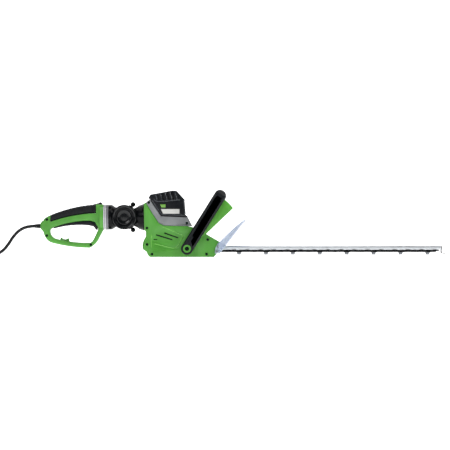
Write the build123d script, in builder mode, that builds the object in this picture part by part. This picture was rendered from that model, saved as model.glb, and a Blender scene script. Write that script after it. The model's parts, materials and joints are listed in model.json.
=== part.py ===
from build123d import *
from math import atan2, cos, degrees, pi, radians, sin, sqrt, tan
import os

# Hedge trimmer with a swivelling, tilting rear handle. Millimetres.
# +X runs along the blades to their tip, +Z is up, -Y is the operator's right-hand side.
# The origin is the middle of the motor housing's flat base, on which the tool stands.

os.makedirs("parts", exist_ok=True)

# ---------------------------------------------------------------- driving dimensions
gap = 0.3                    # clearance between pieces that move past each other
joint_line = 0.15            # clearance between pieces of one body
wall = 3.0                   # moulded shell thickness
screw_r = 1.6                # thread-forming screw for plastic
screw_head_r = 3.4
boss_r = 4.6
recess_depth = 3.0

housing_half = 45.0          # half width of the green motor housing
band_half = 43.0
cover_half = 40.0

arm_axis_z = 103.0           # height of the swivel axis of the rear handle
pivot_x = -150.5             # tilt pivot of the rear arm
pivot_disc_r = 32.0
ear_inner, ear_outer = 12.4, 28.0
tongue_r = 28.0
pivot_bolt_r = 5.0
running = 0.05               # radial clearance of a running fit

motor_x = -26.0              # motor axis, vertical
module_mm = 1.25
pinion_teeth, gear_teeth = 9, 44
gear_x = motor_x + module_mm * (pinion_teeth + gear_teeth) / 2
gear_low, gear_high = 34.0, 44.0
throw = 8.0                  # crank throw: each blade travels this far either way
cam_r = 12.0

blade_t = 2.5
lower_blade_z = 12.5
upper_blade_z = lower_blade_z + blade_t + 0.2
rail_low, rail_high = 18.0, 28.6
rail_half = 17.0
rail_start, rail_end = 58.0, 671.0
tooth_pitch = 35.0
tooth_count = 16
first_tooth_x = 124.0
bolt_xs = [147.0 + 2 * tooth_pitch * i for i in range(8)]

bail_eye = (12.7, 21.6)
bail_angle = 58.0
bail_half_width = 15.4       # half width of the bail seen from the side
bail_inner, bail_outer = 54.0, 68.0
bail_top = 176.5             # eye axis to the outer face of the cross bar
lever_pivot = (29.1, 47.9)
lever_reach = 129.0
lever_inner, lever_outer = 47.0, 53.0
nose_side = 41.3             # inner face of the guard's tabs, outside the housing's nose
guard_screw_points = [(92.5, 27.6), (89.0, 14.6)]

handle_half = 17.0
trigger_pivot = (-228.5, 88.5)
arm_screw_points = [(-188, 127.4), (-188, 76.2)]
collar_front, collar_rear = -191.6, -204.6
collar_r = 33.0
cord_r = 4.0
cord_exit_z = 80.0


def save(piece, name):
    """Labels a finished sub-part and writes it as one STEP file."""
    piece.part.label = name
    export_step(piece.part, f"parts/{name}.step")


def side(y):
    """The plane at one Y, drawn on as (X, Z); extruding on it goes towards -Y."""
    return Plane.XZ.offset(-y)


def across(x, z=0.0):
    """The plane at one X, drawn on as (Y, Z - z); extruding on it goes towards +X."""
    return Plane(origin=(x, 0, z), x_dir=(0, 1, 0), z_dir=(1, 0, 0))


def slab(points, y_low, y_high, corner=0.0):
    """A prism of a side outline between two Y values, its corners rounded."""
    with BuildPart() as body:
        with BuildSketch(side(y_high)) as drawn:
            with BuildLine():
                Polyline(*points, close=True)
            make_face()
            if corner:
                fillet(drawn.vertices(), corner)
        extrude(amount=y_high - y_low)
    return body.part


def rod_y(x, z, r, y_low, y_high):
    """A round bar along Y."""
    with BuildPart() as body:
        with BuildSketch(side(y_high)):
            with Locations((x, z)):
                Circle(r)
        extrude(amount=y_high - y_low)
    return body.part


def rod_z(x, y, r, z_low, z_high):
    """A round bar along Z."""
    with BuildPart() as body:
        with BuildSketch(Plane.XY.offset(z_low)):
            with Locations((x, y)):
                Circle(r)
        extrude(amount=z_high - z_low)
    return body.part


def rod_x(r, x_low, x_high, z=arm_axis_z):
    """A round bar along X, on the swivel axis unless z says otherwise."""
    with BuildPart() as body:
        with BuildSketch(across(x_low, z)):
            Circle(r)
        extrude(amount=x_high - x_low)
    return body.part


def block(x_low, x_high, y_low, y_high, z_low, z_high):
    """A box by its limits."""
    with BuildPart() as body:
        with BuildSketch(Plane.XY.offset(z_low)):
            with Locations(((x_low + x_high) / 2, (y_low + y_high) / 2)):
                Rectangle(x_high - x_low, y_high - y_low)
        extrude(amount=z_high - z_low)
    return body.part


def drill_screws(points, half, recess=recess_depth):
    """Cuts screw holes along Y with head recesses on the right side, inside a part context."""
    for x, z in points:
        add(rod_y(x, z, screw_r + 0.1, -half - 1, half - 4), mode=Mode.SUBTRACT)
        add(rod_y(x, z, screw_head_r + 0.2, -half - 1, -half + recess), mode=Mode.SUBTRACT)


def screws(name, points, half, recess=recess_depth, length=None):
    """One node of pan-head screws along Y, heads in the right side's recesses."""
    reach = length or 2 * half - recess - 6
    with BuildPart() as group:
        for x, z in points:
            y_head = -half + recess
            add(rod_y(x, z, screw_head_r, y_head - 2.2, y_head))
            add(rod_y(x, z, screw_r, y_head, y_head + reach))
            add(rod_y(x, z, 1.4, y_head - 3, y_head - 1.2), mode=Mode.SUBTRACT)
    save(group, name)


def halves(whole, right_name, left_name):
    """Splits a closed shell at the middle plane into its right and left mouldings."""
    with BuildPart() as right:
        add(whole)
        split(bisect_by=side(-0.05), keep=Keep.TOP)
    save(right, right_name)
    with BuildPart() as left:
        add(whole)
        split(bisect_by=side(0.05), keep=Keep.BOTTOM)
    save(left, left_name)


# ---------------------------------------------------------------- motor housing
housing_points = [
    (-83, 0), (82, 0), (94, 14.6), (99, 37.4), (60, 60), (25, 79.3), (-47, 81), (-61, 88),
    (-77, 112), (-94, 140), (-97, 140), (-99, 134), (-98, 70.5), (-94, 66), (-94, 52.5),
    (-100, 42.6), (-103, 28.6), (-102, 20), (-93, 14.6), (-88, 3.6),
]
housing_screw_points = [(-91, 75), (-90.5, 32.5), (-78, 7.5), (66, 45), (63, 7.5)]
vent_slots = [
    ((-68, 57.5), (-25, 44.5), 3.6),
    ((-47, 62.4), (-10, 49.4), 3.6),
    ((-74, 45.5), (-64, 45.5), 2.6),
]                            # each: start, end and width
motor_bay = rod_z(motor_x, 0, 25.6, 40, 158)
# The plan view narrows to the nose and rounds off at the rear.
housing_plan = [
    (-110, -36), (-95, -housing_half), (40, -housing_half), (104, -37),
    (104, 37), (40, housing_half), (-95, housing_half), (-110, 36),
]


def housing_solid(inset):
    """The housing's outer form, or its cavity when its side outline and its plan are inset."""
    half = housing_half - inset
    with BuildPart() as body:
        with BuildSketch(side(half)):
            with BuildLine():
                Polyline(*housing_points, close=True)
            make_face()
            if inset:
                offset(amount=-inset, mode=Mode.REPLACE)
        extrude(amount=2 * half)
        if not inset:
            rims = body.faces().filter_by(Axis.Y).group_by(Axis.Y)
            chamfer(rims[0].edges() + rims[-1].edges(), 1.2)
        with BuildSketch(Plane.XY.offset(-1)):
            with BuildLine():
                Polyline(*housing_plan, close=True)
            make_face()
            if inset:
                offset(amount=-inset, mode=Mode.REPLACE)
        extrude(amount=150, mode=Mode.INTERSECT)
    return body.part


with BuildPart() as housing:
    add(housing_solid(0))
    add(housing_solid(wall), mode=Mode.SUBTRACT)
    for x, z in housing_screw_points:
        add(rod_y(x, z, boss_r, -housing_half + 2, housing_half - 2))
    # Bosses that carry the bail: a flange, and a spigot that the bail's eye sits on.
    for y_low, y_high, r in ((housing_half - 4, bail_inner - 0.2, 15.0), (bail_inner - 1, bail_outer + 1.2, 10.0)):
        add(rod_y(*bail_eye, r, y_low, y_high))
        add(rod_y(*bail_eye, r, -y_high, -y_low))
    for way in (-1, 1):
        ends = sorted((way * 40, way * (bail_outer + 2)))
        add(rod_y(*bail_eye, 3.2, *ends), mode=Mode.SUBTRACT)
        ends = sorted((way * (bail_outer - 5), way * (bail_outer + 2)))
        add(rod_y(*bail_eye, 5.6, *ends), mode=Mode.SUBTRACT)
    drill_screws(housing_screw_points, housing_half)
    for x, z in guard_screw_points:
        add(rod_y(x, z, screw_r + 0.1, -50, 50), mode=Mode.SUBTRACT)
    for start, end, width in vent_slots:
        middle = ((start[0] + end[0]) / 2, (start[1] + end[1]) / 2)
        run = (end[0] - start[0], end[1] - start[1])
        with BuildSketch(side(housing_half + 1)):
            with Locations(Location(middle, degrees(atan2(run[1], run[0])))):
                SlotOverall(sqrt(run[0] ** 2 + run[1] ** 2), width)
        extrude(amount=2 * housing_half + 2, mode=Mode.SUBTRACT)
    add(motor_bay, mode=Mode.SUBTRACT)
    # Way out for the rail and blades, and the seat of the neck.
    add(block(70, 110, -19.5, 19.5, 10, 30), mode=Mode.SUBTRACT)
    add(rod_x(16.2, -105, -90), mode=Mode.SUBTRACT)
halves(housing.part, "motor_housing_right", "motor_housing_left")
screws("housing_screws", housing_screw_points, housing_half)

# ---------------------------------------------------------------- trim band and motor cover
band_points = [
    (-94, 140.4), (-76.8, 112.3), (-60.8, 88.4), (-46.9, 81.4), (25.2, 79.7), (14, 102), (-55, 105), (-84, 149)
]
band_screw_points = [(-86.5, 141), (12, 87.5)]
with BuildPart() as band:
    add(slab(band_points, -band_half, band_half))
    with BuildSketch(side(band_half - wall)):
        with BuildLine():
            Polyline(*band_points, close=True)
        make_face()
        offset(amount=-2.4, mode=Mode.REPLACE)
    extrude(amount=2 * (band_half - wall), mode=Mode.SUBTRACT)
    for x, z in band_screw_points:
        add(rod_y(x, z, 4.4, -band_half + 1, band_half - 1))
    rims = band.faces().filter_by(Axis.Y).group_by(Axis.Y)
    chamfer(rims[0].edges() + rims[-1].edges(), 1.0)
    drill_screws(band_screw_points, band_half)
    add(motor_bay, mode=Mode.SUBTRACT)
halves(band.part, "trim_band_right", "trim_band_left")
screws("trim_screws", band_screw_points, band_half)

cover_points = [
    (-83.4, 149.4), (-54.7, 105.5), (13.4, 102.5), (13, 104.5), (7, 110), (4, 144), (6, 148),
    (-15, 171), (-25, 172), (-79, 162), (-82, 162), (-88, 151.6),
]
rib_pitch = 13.0
rib_xs = [-66.0 + rib_pitch * i for i in range(4)]
with BuildPart() as cover:
    add(slab(cover_points, -cover_half, cover_half))
    rims = cover.faces().filter_by(Axis.Y).group_by(Axis.Y)
    chamfer(rims[0].edges() + rims[-1].edges(), 1.2)
    # The shoulders slope in towards the top.
    for way in (-1, 1):
        with BuildSketch(Plane.YZ.offset(-95)):
            with BuildLine():
                Polyline((way * 41, 140), (way * 41, 176), (way * 30, 176), close=True)
            make_face()
        extrude(amount=110, mode=Mode.SUBTRACT)
    with BuildSketch(side(28)):
        with BuildLine():
            Polyline(*cover_points, close=True)
        make_face()
        offset(amount=-wall, mode=Mode.REPLACE)
    extrude(amount=56, mode=Mode.SUBTRACT)
    with BuildSketch(side(cover_half - wall)):
        with BuildLine():
            Polyline((-76, 141), (-54, 108.5), (3, 107), (0.8, 141), close=True)
        make_face()
    extrude(amount=2 * (cover_half - wall), mode=Mode.SUBTRACT)
    # Slanted cooling slots wrap from each side over the shoulder to the top.
    for x in rib_xs:
        slot_points = [(x, 148), (x + 7, 148.8), (x + 2, 180), (x - 5, 180)]
        add(slab(slot_points, -42, -22), mode=Mode.SUBTRACT)
        add(slab(slot_points, 22, 42), mode=Mode.SUBTRACT)
    add(motor_bay, mode=Mode.SUBTRACT)
save(cover, "motor_cover")

with BuildPart() as plates:
    for way in (-1, 1):
        ends = sorted((way * (cover_half + 0.05), way * (cover_half + 0.9)))
        add(slab([(-55, 124), (-49.5, 112), (-8, 112), (-7, 113), (-7, 124)], *ends))
save(plates, "rating_plates")
ends = (-cover_half - 0.9, -cover_half - 0.05)
with BuildPart() as accent:
    add(slab([(-57, 136), (-54, 128), (-43, 128), (-43, 136)], *ends))
save(accent, "accent_bar")

# ---------------------------------------------------------------- motor and gears
with BuildPart() as field:
    add(rod_z(motor_x, 0, 24.0, 74, 118))
    add(rod_z(motor_x, 0, 16.2, 73, 119), mode=Mode.SUBTRACT)
    for way in (-1, 1):
        add(block(motor_x - 26, motor_x + 26, *sorted((way * 21, way * 26)), 73, 119), mode=Mode.SUBTRACT)
save(field, "motor_field_core")

shaft_r, shaft_end_r = 4.0, 2.6
with BuildPart() as armature:
    add(rod_z(motor_x, 0, shaft_end_r, gear_low, gear_high + 1))
    add(rod_z(motor_x, 0, shaft_r, gear_high + 1, 148))
    add(rod_z(motor_x, 0, 15.5, 75, 117))
    with BuildSketch(Plane.XY.offset(75)):
        with Locations((motor_x, 0)):
            with PolarLocations(14.2, 12):
                Rectangle(3.4, 2.0)
    extrude(amount=42, mode=Mode.SUBTRACT)
save(armature, "armature")

with BuildPart() as commutator:
    add(rod_z(motor_x, 0, 11.0, 121, 133))
    add(rod_z(motor_x, 0, shaft_r, 120, 134), mode=Mode.SUBTRACT)
    with BuildSketch(Plane.XY.offset(121)):
        with Locations((motor_x, 0)):
            with PolarLocations(11, 24):
                Rectangle(1.6, 0.5)
    extrude(amount=12, mode=Mode.SUBTRACT)
save(commutator, "commutator")

with BuildPart() as fan:
    add(rod_z(motor_x, 0, 23.0, 58, 60))
    add(rod_z(motor_x, 0, 8.0, 58, 70))
    for i in range(9):
        with BuildSketch(Plane.XY.offset(60)):
            with Locations(Location((motor_x, 0), 40 * i)):
                with Locations(Location((14.5, 0), 20)):
                    Rectangle(15, 1.4)
        extrude(amount=10)
    add(rod_z(motor_x, 0, shaft_r, 57, 71), mode=Mode.SUBTRACT)
save(fan, "cooling_fan")


def gear_blank(x, teeth, z_low, z_high, turn):
    """A spur gear with straight-flanked teeth, standing on the axis at x."""
    pitch_r = module_mm * teeth / 2
    root_r = pitch_r - 1.25 * module_mm
    tip_r = pitch_r + 0.85 * module_mm
    half_tooth = 0.85 * pi * module_mm / 4
    tooth = [(root_r - 0.5, -1.2 * half_tooth), (root_r, -1.2 * half_tooth), (pitch_r, -half_tooth),
             (tip_r, -0.4 * half_tooth), (tip_r, 0.4 * half_tooth), (pitch_r, half_tooth),
             (root_r, 1.2 * half_tooth), (root_r - 0.5, 1.2 * half_tooth)]
    with BuildPart() as body:
        with BuildSketch(Plane.XY.offset(z_low)):
            with Locations((x, 0)):
                Circle(root_r)
            for i in range(teeth):
                with Locations(Location((x, 0), turn + 360 / teeth * i)):
                    Polygon(*tooth, align=None)
        extrude(amount=z_high - z_low)
    return body.part


with BuildPart() as pinion:
    add(gear_blank(motor_x, pinion_teeth, gear_low, gear_high, 0))
    add(rod_z(motor_x, 0, shaft_end_r, gear_low - 1, gear_high + 1), mode=Mode.SUBTRACT)
save(pinion, "pinion")

# The crank gear is in mesh at rest: one of its gaps faces the pinion's tooth at 0 degrees.
gear_turn = 180 + 180 / gear_teeth
with BuildPart() as crank_gear:
    add(gear_blank(gear_x, gear_teeth, gear_low, gear_high, gear_turn))
    with BuildSketch(Plane.XY.offset(gear_low)):
        with Locations((gear_x, 0)):
            with PolarLocations(17.5, 6):
                Circle(4.0)
    extrude(amount=gear_high - gear_low, mode=Mode.SUBTRACT)
    add(rod_z(gear_x, 0, 6.0, gear_high, 55))
    add(rod_z(gear_x, 0, 10.0, 17.95, gear_low))
    add(rod_z(gear_x, throw, cam_r, upper_blade_z, 17.95))
    add(rod_z(gear_x, -throw, cam_r, lower_blade_z, upper_blade_z))
save(crank_gear, "crank_gear")


def ball_bearing(x, bore_r, outer_r, z_low, z_high):
    """A shielded ball bearing, drawn as one ring with a groove between its races."""
    mid_r = (bore_r + outer_r) / 2
    with BuildPart() as bearing:
        add(rod_z(x, 0, outer_r, z_low, z_high))
        add(rod_z(x, 0, bore_r + running, z_low - 1, z_high + 1), mode=Mode.SUBTRACT)
        for z in (z_low, z_high - 0.8):
            with BuildSketch(Plane.XY.offset(z)):
                with Locations((x, 0)):
                    Circle(mid_r + 1.2)
                    Circle(mid_r - 1.2, mode=Mode.SUBTRACT)
            extrude(amount=0.8, mode=Mode.SUBTRACT)
    return bearing.part


with BuildPart() as motor_bearings:
    add(ball_bearing(motor_x, shaft_r, 11.0, 48.0, 54.5))
    add(ball_bearing(motor_x, shaft_r, 9.5, 138.0, 144.0))
save(motor_bearings, "motor_bearings")
with BuildPart() as crank_bearings:
    add(ball_bearing(gear_x, 6.0, 12.0, 48.0, 54.0))
    add(ball_bearing(gear_x, 10.0, 16.0, 23.0, 31.5))
save(crank_bearings, "crank_bearings")

with BuildPart() as gear_case_upper:
    add(block(-52, 45, -37, 37, 46.6, 55.5))
    for x, r in ((motor_x, 11.0), (gear_x, 12.0)):
        add(rod_z(x, 0, r + 0.02, 47.9, 57), mode=Mode.SUBTRACT)
        add(rod_z(x, 0, r - 2.5, 45, 50), mode=Mode.SUBTRACT)
    fillet(gear_case_upper.edges().filter_by(Axis.Z).sort_by(Axis.X)[:2], 4)
save(gear_case_upper, "gear_case_upper")

with BuildPart() as gear_case_lower:
    add(block(-22, 52, -35, 35, 22, 32))
    add(rod_z(gear_x, 0, 16.02, 22.9, 34), mode=Mode.SUBTRACT)
    add(rod_z(gear_x, 0, 13.0, 20, 24), mode=Mode.SUBTRACT)
save(gear_case_lower, "gear_case_lower")

with BuildPart() as bearing_bracket:
    add(rod_z(motor_x, 0, 25.0, 136.6, 145))
    add(rod_z(motor_x, 0, 9.52, 137.9, 146), mode=Mode.SUBTRACT)
    add(rod_z(motor_x, 0, 6.0, 136, 139), mode=Mode.SUBTRACT)
    with BuildSketch(Plane.XY.offset(136)):
        with Locations((motor_x, 0)):
            with PolarLocations(17.5, 6):
                Circle(4.0)
    extrude(amount=10, mode=Mode.SUBTRACT)
save(bearing_bracket, "bearing_bracket")

with BuildPart() as brushes:
    for way in (-1, 1):
        add(block(motor_x - 4.5, motor_x + 4.5, *sorted((way * 13.5, way * 23)), 122.5, 131.5))
        add(block(motor_x - 3, motor_x + 3, *sorted((way * 11.3, way * 13.5)), 124, 130))
save(brushes, "brush_holders")

with BuildPart() as capacitor:
    add(block(-89.5, -72, -9, 9, 82, 93))
    fillet(capacitor.edges().filter_by(Axis.Y), 1.5)
save(capacitor, "suppression_capacitor")

with BuildPart() as lever_switch:
    add(block(38, 58, 22, 32, 34, 44))
    add(block(45, 50, 24, 30, 44, 45.5))
save(lever_switch, "front_switch")

# ---------------------------------------------------------------- cutting system


def blade(name, z, shift, cam_y):
    """One toothed blade: a wide tail with a window for its cam, a spine and teeth on both edges."""
    spine_half, tooth_half, tail_half = 15.0, 31.0, 27.0
    with BuildPart() as body:
        with BuildSketch(Plane.XY.offset(z)) as drawn:
            with BuildLine():
                Polyline((-29, -tail_half), (41, -tail_half), (56, -spine_half), (658, -spine_half),
                         (658, spine_half), (56, spine_half), (41, tail_half), (-29, tail_half), close=True)
            make_face()
            for i in range(tooth_count):
                x = first_tooth_x + shift + tooth_pitch * i
                for way in (-1, 1):
                    with BuildLine():
                        Polyline((x - 9.5, way * 14), (x - 3.2, way * tooth_half),
                                 (x + 3.2, way * tooth_half), (x + 9.5, way * 14), close=True)
                    make_face()
            with Locations((gear_x, 0)):
                Rectangle(2 * (throw + cam_r + throw) + 1.4, 2 * (throw + cam_r) + 1.2, mode=Mode.SUBTRACT)
            for x in bolt_xs:
                with Locations((x, 0)):
                    SlotOverall(24.4, 6.8, mode=Mode.SUBTRACT)
        extrude(amount=blade_t)
    save(body, name)


blade("upper_blade", upper_blade_z, throw, throw)
blade("lower_blade", lower_blade_z, -throw, -throw)

with BuildPart() as rail:
    with BuildSketch(across(rail_start)):
        with BuildLine():
            Polyline((-rail_half, rail_low), (-rail_half, rail_high - 2.2), (-rail_half + 2.6, rail_high),
                     (rail_half - 2.6, rail_high), (rail_half, rail_high - 2.2), (rail_half, rail_low), close=True)
        make_face()
        for way in (-1, 1):
            with Locations((way * 9.6, rail_low + 3.6)):
                Rectangle(6.8, 7.4, mode=Mode.SUBTRACT)
    extrude(amount=rail_end - rail_start)
    for x in bolt_xs:
        add(rod_z(x, 0, 3.02, rail_low - 1, 26), mode=Mode.SUBTRACT)
save(rail, "guide_rail")

with BuildPart() as bolts:
    for x in bolt_xs:
        add(rod_z(x, 0, 3.0, 8, 25.5))
        add(rod_z(x, 0, 7.0, 11.0, 12.2))
        with BuildSketch(Plane.XY.offset(5.6)):
            with Locations((x, 0)):
                RegularPolygon(5.4, 6)
        extrude(amount=5.4)
save(bolts, "blade_bolts")

with BuildPart() as tip_guard:
    with BuildSketch(side(9)) as drawn:
        with BuildLine():
            Polyline((671.2, 27.2), (671.2, 10.4), (674.6, 8.4), (689.4, 6.4), (689.6, 8.0), (675.2, 10.0),
                     (673.2, 11.4), (673.2, 27.2), close=True)
        make_face()
    extrude(amount=18)
    # The plate covers only the rail's end, so the blades' last teeth pass under it.
    with BuildSketch(across(671.2, (rail_low + rail_high) / 2)):
        RectangleRounded(2 * rail_half + 2, rail_high - rail_low - 1.4, 3)
    extrude(amount=2)
save(tip_guard, "blade_tip_guard")

# ---------------------------------------------------------------- bail handle and front switch lever
bail_dir = (cos(radians(bail_angle)), sin(radians(bail_angle)))
bail_plane = Plane(
    origin=(bail_eye[0], 0, bail_eye[1]),
    x_dir=(bail_dir[0], 0, bail_dir[1]),
    z_dir=(-bail_dir[1], 0, bail_dir[0]),
)
bail_strap = bail_outer - bail_inner
bail_middle = (bail_inner + bail_outer) / 2
with BuildPart() as bail:
    with BuildLine(bail_plane) as path:
        bar_u = bail_top - bail_strap / 2
        FilletPolyline((1, -bail_middle), (bar_u, -bail_middle), (bar_u, bail_middle), (1, bail_middle),
                       radius=12)
    with BuildSketch(Plane(origin=path.line @ 0, x_dir=(0, 1, 0), z_dir=path.line % 0)):
        RectangleRounded(bail_strap, 2 * bail_half_width, 6)
    sweep()
    for way in (-1, 1):
        ends = sorted((way * bail_inner, way * bail_outer))
        add(rod_y(*bail_eye, bail_half_width, *ends))
    # Seen from the side it is a long slot shape, so the cross bar's outer face is a half round.
    bail_mid = (bail_top - bail_half_width) / 2
    middle = (bail_eye[0] + bail_mid * bail_dir[0], bail_eye[1] + bail_mid * bail_dir[1])
    with BuildSketch(side(bail_outer + 2)):
        with Locations(Location(middle, bail_angle)):
            SlotOverall(bail_top + bail_half_width, 2 * bail_half_width)
    extrude(amount=2 * (bail_outer + 2), mode=Mode.INTERSECT)
    for way in (-1, 1):
        ends = sorted((way * (bail_inner - 2), way * (bail_outer + 2)))
        add(rod_y(*bail_eye, 10.2, *ends), mode=Mode.SUBTRACT)
        ends = sorted((way * (bail_inner - 2), way * (bail_outer - 4)))
        add(rod_y(*lever_pivot, 4.02, *ends), mode=Mode.SUBTRACT)
save(bail, "bail_handle")

with BuildPart() as bail_screws:
    for way in (-1, 1):
        add(rod_y(*bail_eye, 5.3, *sorted((way * 63.1, way * 66.6))))
        add(rod_y(*bail_eye, 3.0, *sorted((way * 41, way * 63.2))))
        add(rod_y(*bail_eye, 2.2, *sorted((way * 65, way * 67))), mode=Mode.SUBTRACT)
save(bail_screws, "bail_screws")

with BuildPart() as lever_pins:
    for way in (-1, 1):
        add(rod_y(*lever_pivot, 4.0, *sorted((way * (lever_inner - 0.6), way * (bail_outer - 4.2)))))
save(lever_pins, "lever_pins")


def lever_point(r, angle):
    """A point at a distance from the lever's pivot, at an angle in front of the bail's centre line."""
    turn = radians(bail_angle - angle)
    return (lever_pivot[0] + r * cos(turn), lever_pivot[1] + r * sin(turn))


lever_front = 20.5           # the lever's front corner, in degrees ahead of the bail
lever_outline = [lever_point(lever_reach, a) for a in (1, 6, 11, 16, lever_front)]
with BuildPart() as lever:
    for way in (-1, 1):
        ends = sorted((way * lever_inner, way * lever_outer))
        apex = (60.8, 59.0)
        add(slab([(36, 41), apex, *reversed(lever_outline), lever_point(60, -3), (24, 52)], *ends))
        add(rod_y(*lever_pivot, 10.0, *ends))
    inner_front = lever_point(96, 17.3)
    bar = [*lever_outline, inner_front, lever_point(94, 14.2)]
    bar += [lever_point(lever_reach - 4.5, a) for a in (17.5, 11, 6, 1)]
    add(slab(bar, -lever_inner - 0.5, lever_inner + 0.5))
    for way in (-1, 1):
        ends = sorted((way * (lever_inner - 2), way * (lever_outer + 2)))
        add(rod_y(*lever_pivot, 4.0 + running, *ends), mode=Mode.SUBTRACT)
save(lever, "front_switch_lever")

# ---------------------------------------------------------------- clear hand guard
guard_foot, guard_tip = (98.6, 10.6), (165.2, 97.2)
slope = atan2(guard_tip[1] - guard_foot[1], guard_tip[0] - guard_foot[0])
guard_length = sqrt((guard_tip[0] - guard_foot[0]) ** 2 + (guard_tip[1] - guard_foot[1]) ** 2)
guard_half, foot_half = 82.0, 64.0
guard_plane = Plane(
    origin=(guard_foot[0], 0, guard_foot[1]),
    x_dir=(cos(slope), 0, sin(slope)),
    z_dir=(-sin(slope), 0, cos(slope)),
)
with BuildPart() as guard:
    with BuildSketch(guard_plane) as drawn:
        with BuildLine():
            Polyline((0, -foot_half), (0, -nose_side), (27, -nose_side), (27, nose_side), (0, nose_side),
                     (0, foot_half), (38, guard_half), (guard_length, guard_half),
                     (guard_length, -guard_half), (38, -guard_half), close=True)
        make_face()
        fillet(drawn.vertices().filter_by(lambda v: v.X > guard_length - 1), 24)
    extrude(amount=2.2)
    for way in (-1, 1):
        # A stiffening rib on the operator's side, and a tab along each flank of the nose.
        add(slab([(93, 27), (100.5, 15), (165.6, 96.4), (159.6, 96), (133, 74.5), (97.5, 40)],
                 *sorted((way * (foot_half - 2.2), way * foot_half))))
        add(slab([(84, 9), (97, 9), (112.4, 29), (97.5, 40), (91, 35), (85, 21)],
                 *sorted((way * nose_side, way * (nose_side + 2.2)))))
    for x, z in guard_screw_points:
        add(rod_y(x, z, screw_r + 0.1, -50, 50), mode=Mode.SUBTRACT)
save(guard, "hand_guard")

with BuildPart() as guard_screws:
    for x, z in guard_screw_points:
        for way in (-1, 1):
            add(rod_y(x, z, screw_head_r, *sorted((way * (nose_side + 2.25), way * (nose_side + 4.4)))))
            add(rod_y(x, z, screw_r, *sorted((way * 33, way * (nose_side + 2.25)))))
save(guard_screws, "guard_screws")

# ---------------------------------------------------------------- swivel joint
lug_angles = (56.5, -56.5)   # index plungers, above and below the axis towards the housing
lug_r, lug_ball_r, lug_stem_r = 37.0, 6.2, 2.6
lug_seat_r = 33.4            # the neck's flat that each knob rests against


def lug_plane(angle):
    """A plane at the pivot whose normal points out along one plunger."""
    turn = radians(angle)
    return Plane(origin=(pivot_x, 0, arm_axis_z), x_dir=(0, 1, 0), z_dir=(cos(turn), 0, sin(turn)))


with BuildPart() as neck:
    # Turned flare that meets the housing, with a spigot into its rear wall.
    with BuildSketch(Plane.XZ):
        with BuildLine():
            Polyline((-128, 103), (-128, 125), (-124, 127), (-117, 130.5), (-113, 134), (-110.5, 134), (-109, 135.6),
                     (-105, 135.8), (-103.6, 137.4), (-99.3, 138.4), (-99.3, 119), (-91, 119), (-91, 103), close=True)
        make_face()
    revolve(axis=Axis((0, 0, arm_axis_z), (1, 0, 0)))
    # Two ears join it to the pivot, with a bridge between them in front of the tongue.
    add(rod_y(pivot_x, arm_axis_z, pivot_disc_r, -ear_outer, ear_outer))
    add(block(pivot_x, -122, -24, 24, arm_axis_z - 20, arm_axis_z + 20))
    for angle in lug_angles:
        with BuildSketch(lug_plane(angle).offset(20)):
            Rectangle(22, 14)
        extrude(amount=lug_seat_r - 20)
    # Room for the tongue between the ears: open behind, closed in front.
    add(rod_y(pivot_x, arm_axis_z, tongue_r + gap, -ear_inner, ear_inner), mode=Mode.SUBTRACT)
    rear_gap = [(pivot_x, arm_axis_z)] + [
        (pivot_x + 48 * cos(radians(a)), arm_axis_z + 48 * sin(radians(a))) for a in range(78, 290, 12)
    ]
    add(slab(rear_gap, -ear_inner, ear_inner), mode=Mode.SUBTRACT)
    add(rod_y(pivot_x, arm_axis_z, pivot_bolt_r + running, -30, 30), mode=Mode.SUBTRACT)
    for way in (-1, 1):
        add(rod_y(pivot_x, arm_axis_z, 20.0, *sorted((way * 20, way * 30))), mode=Mode.SUBTRACT)
        add(rod_y(pivot_x, arm_axis_z, 9.6, *sorted((way * 16, way * 21))), mode=Mode.SUBTRACT)
    for angle in lug_angles:
        with BuildSketch(lug_plane(angle).offset(20)):
            Circle(lug_stem_r + running)
        extrude(amount=20, mode=Mode.SUBTRACT)
    add(rod_x(8, -126, -85), mode=Mode.SUBTRACT)
save(neck, "joint_neck")

with BuildPart() as pivot_bolt:
    add(rod_y(pivot_x, arm_axis_z, pivot_bolt_r, -19.5, 19.5))
    for way in (-1, 1):
        with BuildSketch(side(max(way * 16.1, way * 19.8))):
            with Locations((pivot_x, arm_axis_z)):
                RegularPolygon(8.6, 6)
        extrude(amount=3.7)
save(pivot_bolt, "pivot_bolt")


def dished_disc(y_face, way):
    """A round disc with a raised rim and a dished face; way is -1 on the right, 1 on the left."""
    with BuildPart() as disc:
        add(rod_y(pivot_x, arm_axis_z, 19.6, *sorted((y_face, y_face - way * 4.4))))
        add(rod_y(pivot_x, arm_axis_z, 15.5, *sorted((y_face + way, y_face - way * 2.0))), mode=Mode.SUBTRACT)
    return disc.part


with BuildPart() as release_button:
    add(dished_disc(-ear_outer - 0.6, -1))
save(release_button, "release_button")
with BuildPart() as pivot_cap:
    add(dished_disc(ear_outer + 0.6, 1))
    add(rod_y(pivot_x, arm_axis_z, 10.5, 20.1, 24.4))
    add(rod_y(pivot_x, arm_axis_z, 8.0, 19.9, 23.0), mode=Mode.SUBTRACT)
save(pivot_cap, "pivot_cap")


def coil(coil_r, wire_r, start, direction, length, turns):
    """A round-wire compression spring that runs from start along direction."""
    with BuildPart() as spring:
        with BuildLine() as path:
            Helix(pitch=length / turns, height=length, radius=coil_r, center=start, direction=direction)
        with BuildSketch(Plane(origin=path.line @ 0, z_dir=path.line % 0)):
            Circle(wire_r)
        sweep()
    return spring.part


with BuildPart() as button_spring:
    add(coil(12.0, 0.5, (pivot_x, -23.5, arm_axis_z), (0, 1, 0), 2.9, 1.5))
save(button_spring, "button_spring")

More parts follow.
